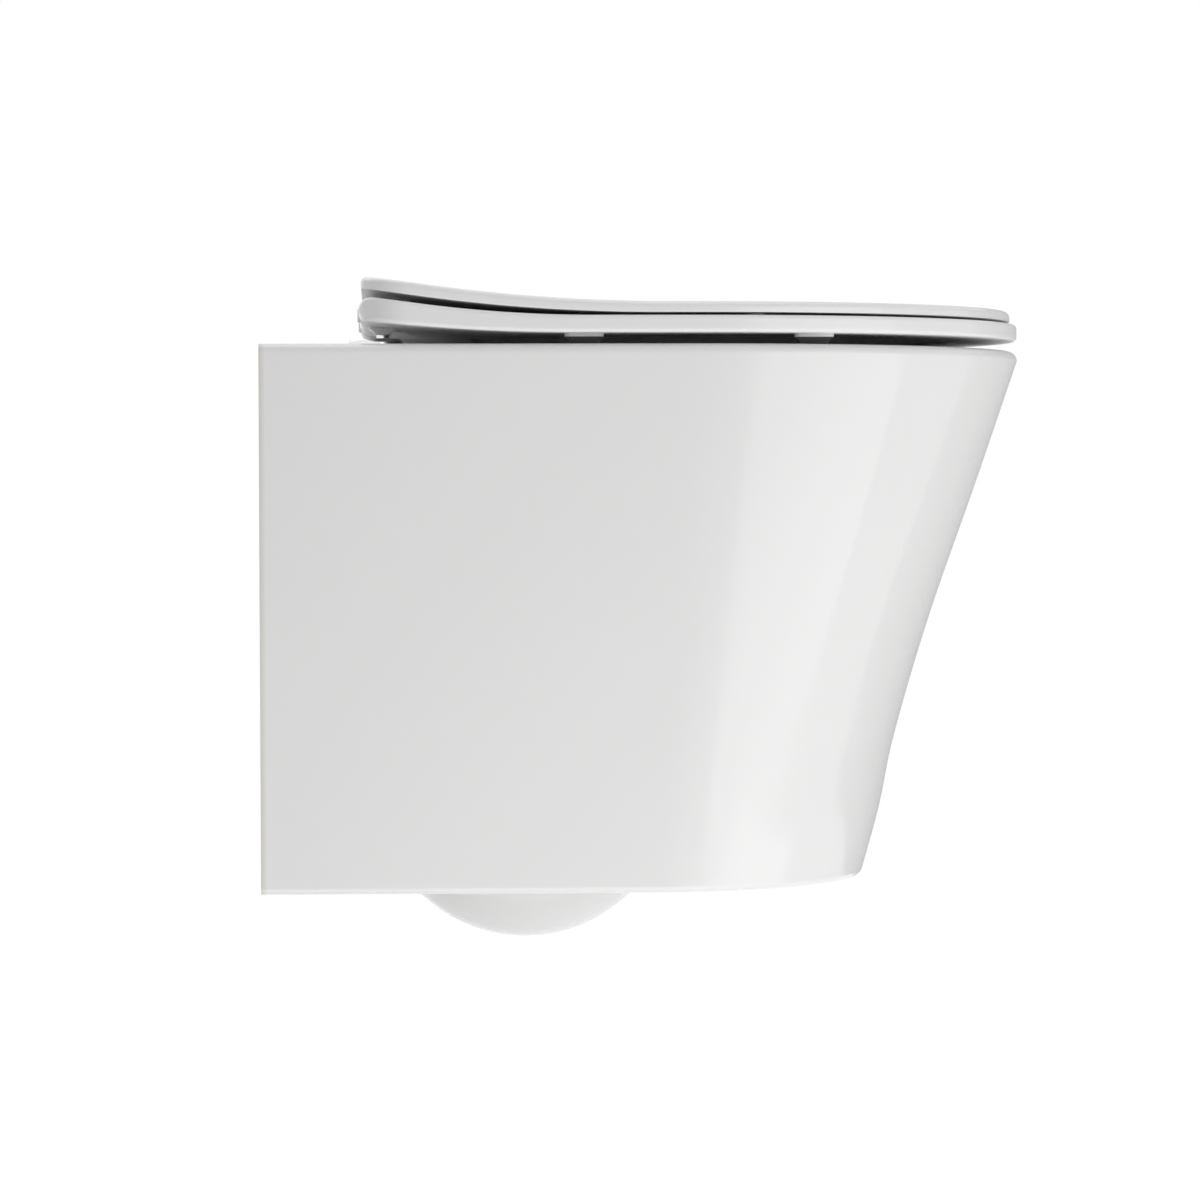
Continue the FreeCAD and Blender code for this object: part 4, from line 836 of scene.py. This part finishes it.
def buffers():
    """Long pads under the seat, drawn in towards their feet, and round ones under the lid."""
    pads = None
    for x, y in SEAT_PADS:
        plan = rounded(rectangle(x, y, *PAD_HALF), PAD_CORNER, 8)
        skin = []
        for cut_in, height in PAD_SIDES:
            skin.append([(u, v, DECK + height) for u, v in inset(plan, cut_in)])
        pad = stack("seat_pads", skin)
        pads = join(pads, pad) if pads else pad
    mirrored(pads)
    # the seat pads' downward faces carry near black painted shade
    dress(pads, "seat_ring", "soft", "seat_buffers", finish="soft_painted_shade")
    dots = None
    low, high = (DECK + height for height in LID_PAD_SPAN)
    for place in LID_PADS:
        dot = bar("lid_dots", circle(LID_PAD, place), low, high, "z", 0.4)
        dots = join(dots, dot) if dots else dot
    dress(mirrored(dots), "cover", "soft", "lid_buffers")


# ----------------------------------------------------------------- fixings


def collar(name, bore, radius, start, end, place, edge=0.3):
    """A washer, sleeve or disc with a hole, its corners slightly rounded."""
    profile = rounded([(bore, start), (radius, start), (radius, end), (bore, end)], edge, 3)
    return lathe(name, profile, *place, holed=True)


def wall_fixings():
    """Sleeve, washer and nut of a wall rod."""
    shoulder = BOSS_END + FIT
    washer = shoulder + SLEEVE_RIM_WIDTH
    low = washer + ROD_WASHER_WIDTH
    high = low + NUT_WIDTH
    sleeve = [(ROD_BORE, FIT), (SLEEVE, FIT), (SLEEVE, shoulder)]
    sleeve += [(SLEEVE_RIM, shoulder), (SLEEVE_RIM, washer), (ROD_BORE, washer)]
    liner = lathe("rod_liner", rounded(sleeve, 0.4, 3), *ROD_PLACE, holed=True)
    dress(mirrored(liner), "base", "nylon", "rod_sleeves")
    plate = collar("rod_plate", ROD_BORE, ROD_WASHER, washer, low, ROD_PLACE)
    dress(mirrored(plate), "base", "zinc", "rod_washers")
    corner = NUT_FLATS / math.sqrt(3)
    hexagon = [
        (corner * math.cos(a) - ROD_Y, corner * math.sin(a))
        for a in steps(0, 2 * math.pi, 6)[:-1]
    ]
    nut = bar("rod_hex", rounded(hexagon, 0.6, 3), low, high, "x", 0.7)
    wide = ROD_THREAD + LEAD
    thread = [(wide, low - 0.7), (wide, low + 0.3), (ROD_THREAD, low + 0.3 + LEAD)]
    thread += [(ROD_THREAD, high - 0.3 - LEAD), (wide, high - 0.3), (wide, high + 1.3)]
    cut(nut, lathe("thread", thread, *ROD_PLACE))
    dress(mirrored(nut), "base", "zinc", "rod_nuts")


def post_fixings():
    """Everything on a seat fixing hole, from the chrome cap down to the wing nut."""
    foot = DECK + GASKET_HEIGHT
    gasket = collar("gasket", STUD_BORE, GASKET, DECK, foot, STUD_PLACE)
    dress(mirrored(gasket), "base", "soft", "post_gaskets")
    dress(mirrored(stud(foot)), "base", "chrome", "hinge_posts")
    dress(mirrored(cap()), "base", "chrome", "hinge_caps")
    top = DECK - DECK_THICKNESS - FIT
    low = top - CONE_HEIGHT
    cone = [(STUD_BORE, top + CONE_PLUG), (STUD_BORE, low), (CONE, low)]
    cone += [(CONE, low + 3), (CONE_NECK, top), (CONE_NECK, top + CONE_PLUG)]
    plug = lathe("post_cone", rounded(cone, 0.3, 3), *STUD_PLACE, holed=True)
    dress(mirrored(plug), "base", "nylon", "centring_cones")
    plate = collar("post_plate", STUD_BORE, PLATE, low - PLATE_WIDTH, low, STUD_PLACE, 0.2)
    dress(mirrored(plate), "base", "zinc", "post_washers")
    wing_nut(low - PLATE_WIDTH)


def stud(foot):
    """Threaded stud, flange and grooved post, which stands ahead of the stud."""
    top, chamfer = DECK + POST_TOP, POST - POST_TIP
    below, above = AXIS_Z - GROOVE_HALF, AXIS_Z + GROOVE_HALF
    pin = [(POST, DECK + 1), (POST, below), (GROOVE, below), (GROOVE, above)]
    pin += [(POST, above), (POST, top - chamfer), (POST_TIP, top)]
    low = foot - STUD_LENGTH
    thread = [(STUD_TIP, low), (STUD_START, low + LEAD)]
    while thread[-1][1] < DECK - 2:
        root = thread[-1][1] + THREAD_PITCH / 2
        thread += [(THREAD_ROOT, root), (THREAD_CREST, root + THREAD_PITCH / 2)]
    shank = lathe("post_stud", thread + [(THREAD_CREST, DECK + 1.5)], *STUD_PLACE)
    flange = cylinder("flange", FLANGE, foot, DECK + FLANGE_TOP, *STUD_PLACE)
    return join(shank, flange, lathe("pin", pin, *POST_PLACE))


def cap():
    """Chrome cap over the flange, open below, with the hole for the post."""
    inside, low, top = CAP - CAP_SKIN, DECK + FIT, DECK + CAP_TOP
    corners = [(inside - 0.1, low), (CAP, low), (CAP, top), (1, top)]
    cover = lathe("post_cap", rounded(corners, [0, 0.2, 2.4, 0], 10), *STUD_PLACE)
    return cut(
        cover,
        cylinder("inside", inside, DECK - 1, DECK + 4, *STUD_PLACE),
        cylinder("hole", STUD_BORE, DECK, DECK + 8, *POST_PLACE),
    )


def wing_nut(top):
    """Hub and two wings, under the plate."""
    foot = top - WING_HEIGHT
    hub = bar("wing_hub", circle(WING_HUB, (POST_HOLE_X, -POST_Y)), foot, top, "z", 0.8)
    wings = rounded(rectangle(POST_HOLE_X, -POST_Y, WING_REACH, WING_HALF), 1.4, 4)
    join(hub, bar("wings", wings, foot, top - WING_STEP, "z", 0.7))
    cut(hub, cylinder("thread", POST + 0.05, foot - 1, top + 1, *STUD_PLACE))
    dress(mirrored(hub), "base", "nylon", "wing_nuts")


def hinge_bodies():
    """Barrel on the axis over a V shaped foot, with the release button's window behind."""
    disc = circle(BARREL, (AXIS_X, AXIS_Z))
    barrel = bar("hinge_left", disc, -HINGE_OUTER, -HINGE_INNER, "y", 0.4)
    corners = [(x, z) for x, z, _ in HINGE_FOOT]
    outline = rounded(corners, [radius for *_, radius in HINGE_FOOT], 5)
    join(barrel, bar("foot", outline, -POST_Y - FOOT_HALF, FOOT_HALF - POST_Y, "y", 0.7))
    window = rounded(rectangle(-POST_Y, AXIS_Z, *WINDOW), 0.5, 3)
    cut(
        barrel,
        cylinder("socket", SOCKET, DECK, DECK + POST_TOP + FIT, *POST_PLACE),
        cylinder("damper_seat", DAMPER, -HINGE_OUTER - 1, DAMPER_LENGTH - HINGE_OUTER, *HINGE),
        cylinder("pin_seat", PIN, -HINGE_INNER - PIN_DEPTH, 1 - HINGE_INNER, *HINGE),
        bar("window", window, *WINDOW_SPAN, "x"),
    )
    right = mirrored(barrel, "hinge_right")
    dress(barrel, "hinges", "seat_resin", "hinge_body_left")
    dress(right, "hinges", "seat_resin", "hinge_body_right")


def dampers():
    """Damper cases in the outer ends of the barrels, and their keyed shafts."""
    end = -HINGE_OUTER
    disc = circle(DAMPER, (AXIS_X, AXIS_Z))
    case = bar("damper_cases", disc, end, end + DAMPER_LENGTH, "y", 0.3)
    play = SHAFT_BORE - SHAFT
    cut(case, cylinder("shaft_seat", SHAFT_BORE, end - 1, end + SHAFT_DEPTH + play, *HINGE))
    dress(mirrored(case), "hinges", "damper_case", "dampers")
    disc = circle(SHAFT, (AXIS_X, AXIS_Z))
    shaft = bar("seat_shaft", disc, end - KNUCKLE_GAP, end + SHAFT_DEPTH, "y")
    rise = math.asin(SHAFT_FLAT / SHAFT)
    key = [round_hinge(SHAFT, a) for a in steps(-rise, rise, 12)]
    key += [round_hinge(SHAFT, a) for a in steps(math.pi - rise, math.pi + rise, 12)]
    root = end - KNUCKLE_GAP / 2
    join(shaft, bar("key", key, root - SHAFT_REACH, root, "y", 0.3))
    other = mirrored(shaft, "lid_shaft")
    dress(shaft, "seat_ring", "damper_case", "seat_rotor")
    dress(other, "cover", "damper_case", "lid_rotor")


def pins():
    """Pivot pins in the inner ends of the barrels."""
    disc = circle(PIN, (AXIS_X, AXIS_Z))
    start, end = -HINGE_INNER - PIN_DEPTH, KNUCKLE_GAP + PIN_REACH - HINGE_INNER
    pin = bar("hinge_pins", disc, start, end, "y", 0.4)
    dress(mirrored(pin), "hinges", "steel", "pivot_pins")


def clips():
    """Wire clips, bent round the front of the posts in their grooves."""
    path = [(POST_X - WIRE_TAIL, -POST_Y - WIRE_BEND, AXIS_Z)]
    for angle in steps(-math.pi / 2, math.pi / 2, 24):
        x, y = WIRE_BEND * math.cos(angle), WIRE_BEND * math.sin(angle)
        path.append((POST_X + x, y - POST_Y, AXIS_Z))
    path.append((POST_X - WIRE_TAIL, WIRE_BEND - POST_Y, AXIS_Z))
    wire = tube("clip_wires", path, WIRE, (0, 0, 1))
    dress(mirrored(wire), "hinges", "steel", "latch_clips")


def buttons():
    """Release buttons, each with the wedge that spreads its clip."""
    face = rounded(rectangle(-POST_Y, AXIS_Z, *BUTTON), 0.9, 4)
    button = bar("button_left", face, *BUTTON_SPAN, "x", 0.8)
    wedge = [(x, y - POST_Y) for x, y in WEDGE]
    join(button, bar("wedge", wedge, AXIS_Z - WIRE, AXIS_Z + WIRE, "z"))
    other = mirrored(button, "button_right")
    dress(button, "button_left", "nylon", "release_button_left")
    dress(other, "button_right", "nylon", "release_button_right")


pan()
seat()
lid()
buffers()
wall_fixings()
post_fixings()
hinge_bodies()
dampers()
pins()
clips()
buttons()


# ------------------------------------------------------- stage and lighting

# the stage is in metres; the camera turns, dips and rolls by degrees
CAMERA_PLACE, CAMERA_TURNS = (0.0739, -2.9968, -0.02625), (2.65, 0.977, 0.1547)
CAMERA_SENSOR, CAMERA_LENS = 36, 140.8
WHITE = (1.0, 1.0, 1.0, 1.0)
FLOOR_Z, FLOOR_HALF = -0.75, 6.0


def split_by_ray(tree, seen, unseen, output):
    """One shader for what is seen, also in mirrors and through glass; one for light."""
    path = tree.nodes.new("ShaderNodeLightPath")
    look = path.outputs["Is Camera Ray"]
    for kind in ("Is Glossy Ray", "Is Transmission Ray"):
        either = tree.nodes.new("ShaderNodeMath")
        either.operation = "MAXIMUM"
        tree.links.new(look, either.inputs[0])
        tree.links.new(path.outputs[kind], either.inputs[1])
        look = either.outputs[0]
    mix = tree.nodes.new("ShaderNodeMixShader")
    tree.links.new(look, mix.inputs["Fac"])
    tree.links.new(unseen, mix.inputs[1])
    tree.links.new(seen, mix.inputs[2])
    tree.links.new(mix.outputs["Shader"], output.inputs["Surface"])


def panel(name, corners):
    """A flat object of four corners, and the node tree of its own material."""
    mesh = bpy.data.meshes.new(name)
    mesh.from_pydata(corners, [], [(0, 1, 2, 3)])
    flat = bpy.data.objects.new(name, mesh)
    bpy.context.scene.collection.objects.link(flat)
    paint = bpy.data.materials.new(name)
    paint.use_nodes = True
    mesh.materials.append(paint)
    return flat, paint.node_tree


def floor():
    """A pale floor: light on it shows nearly white, and a shadow stays a shade darker."""
    corners = rectangle(0, 0, FLOOR_HALF, FLOOR_HALF)
    plane, tree = panel("floor", [(x, y, FLOOR_Z) for x, y in corners])
    matt = tree.nodes["Principled BSDF"]
    matt.inputs["Base Color"].default_value = (0.9, 0.9, 0.9, 1)
    matt.inputs["Roughness"].default_value = 0.8
    glow = tree.nodes.new("ShaderNodeEmission")
    glow.inputs["Color"].default_value = (0.62, 0.62, 0.62, 1)
    bright = tree.nodes.new("ShaderNodeAddShader")
    tree.links.new(matt.outputs[0], bright.inputs[0])
    tree.links.new(glow.outputs[0], bright.inputs[1])
    split_by_ray(tree, bright.outputs[0], matt.outputs[0], tree.nodes["Material Output"])


def dark_card():
    """A dark screen beside the backdrop, for the glaze's edge. The camera sees through it."""
    near, far, top = (0.75, 2.3), (2.6, 0.6), 1.0
    corners = [(*near, FLOOR_Z), (*far, FLOOR_Z), (*far, top), (*near, top)]
    card, tree = panel("dark_card", corners)
    place = tree.nodes.new("ShaderNodeTexCoord")
    ramp = tree.nodes.new("ShaderNodeValToRGB")
    set_ramp(ramp, (0.1, 0.02, 0.02, 0.02), (0.26, 0.5, 0.5, 0.5))
    tree.links.new(place.outputs["Generated"], ramp.inputs["Fac"])
    tone = tree.nodes.new("ShaderNodeEmission")
    tree.links.new(ramp.outputs["Color"], tone.inputs["Color"])
    clear = tree.nodes.new("ShaderNodeBsdfTransparent")
    path = tree.nodes.new("ShaderNodeLightPath")
    mix = tree.nodes.new("ShaderNodeMixShader")
    tree.links.new(path.outputs["Is Camera Ray"], mix.inputs["Fac"])
    tree.links.new(tone.outputs[0], mix.inputs[1])
    tree.links.new(clear.outputs[0], mix.inputs[2])
    tree.links.new(mix.outputs["Shader"], tree.nodes["Material Output"].inputs["Surface"])


def world():
    """White for the camera; a room that is brighter before the object, on the camera's side,
    than behind it.
    """
    room = bpy.data.worlds.new("room")
    bpy.context.scene.world = room
    room.use_nodes = True
    tree = room.node_tree
    tree.nodes.clear()
    output = tree.nodes.new("ShaderNodeOutputWorld")
    backdrop, walls = (tree.nodes.new("ShaderNodeBackground") for _ in range(2))
    backdrop.inputs["Color"].default_value = WHITE
    place = tree.nodes.new("ShaderNodeTexCoord")
    split = tree.nodes.new("ShaderNodeSeparateXYZ")
    tree.links.new(place.outputs["Generated"], split.inputs["Vector"])
    ramp = tree.nodes.new("ShaderNodeValToRGB")
    set_ramp(ramp, (0.3, 0.44, 0.44, 0.44), (0.95, 0.36, 0.36, 0.36))
    span = tree.nodes.new("ShaderNodeMapRange")
    span.inputs["From Min"].default_value, span.inputs["From Max"].default_value = -1, 1
    tree.links.new(split.outputs["Y"], span.inputs["Value"])
    tree.links.new(span.outputs["Result"], ramp.inputs["Fac"])
    tree.links.new(ramp.outputs["Color"], walls.inputs["Color"])
    split_by_ray(tree, backdrop.outputs[0], walls.outputs[0], output)


def softbox(name, place, target, size, power, roll=0):
    """A rectangular lamp turned to a target. Power in watts, roll in degrees."""
    lamp = bpy.data.lights.new(name, "AREA")
    lamp.shape, lamp.size, lamp.size_y, lamp.energy = "RECTANGLE", *size, power
    holder = bpy.data.objects.new(name, lamp)
    bpy.context.scene.collection.objects.link(holder)
    aim = (Vector(target) - Vector(place)).to_track_quat("-Z", "Y").to_matrix().to_4x4()
    spin = Matrix.Rotation(math.radians(roll), 4, "Z")
    holder.matrix_world = Matrix.Translation(place) @ aim @ spin


def camera():
    """Level with the lower third of the pan, seen almost square from the side."""
    turn, dip, roll = (math.radians(angle) for angle in CAMERA_TURNS)
    ahead = Vector((
        math.sin(turn) * math.cos(dip),
        math.cos(turn) * math.cos(dip),
        -math.sin(dip),
    ))
    across = Vector((math.cos(turn), -math.sin(turn), 0))
    above = across.cross(ahead)
    right = across * math.cos(roll) - above * math.sin(roll)
    up = above * math.cos(roll) + across * math.sin(roll)
    lens = bpy.data.cameras.new("camera")
    lens.sensor_width, lens.lens = CAMERA_SENSOR, CAMERA_LENS
    holder = bpy.data.objects.new("camera", lens)
    bpy.context.scene.collection.objects.link(holder)
    facing = Matrix((right, up, -ahead)).transposed().to_4x4()
    holder.matrix_world = Matrix.Translation(CAMERA_PLACE) @ facing
    bpy.context.scene.camera = holder


floor()
dark_card()
world()
softbox("side_box", (1.86, -1.62, -0.2), (0.3, 0, -0.05), (1.75, 2.3), 13, roll=26)
softbox("top_box", (0.3, 0.1, 1.9), (0.25, 0, 0), (1.6, 1.6), 11)
softbox("low_box", (0.95, -0.95, -0.72), (0.95, -0.95, 0.5), (2.0, 1.3), 8.5)
softbox("back_box", (-0.9, 1.1, 1.5), (0.2, 0, -0.05), (1.4, 1.6), 6)
camera()
bpy.context.scene.view_settings.view_transform = "Standard"
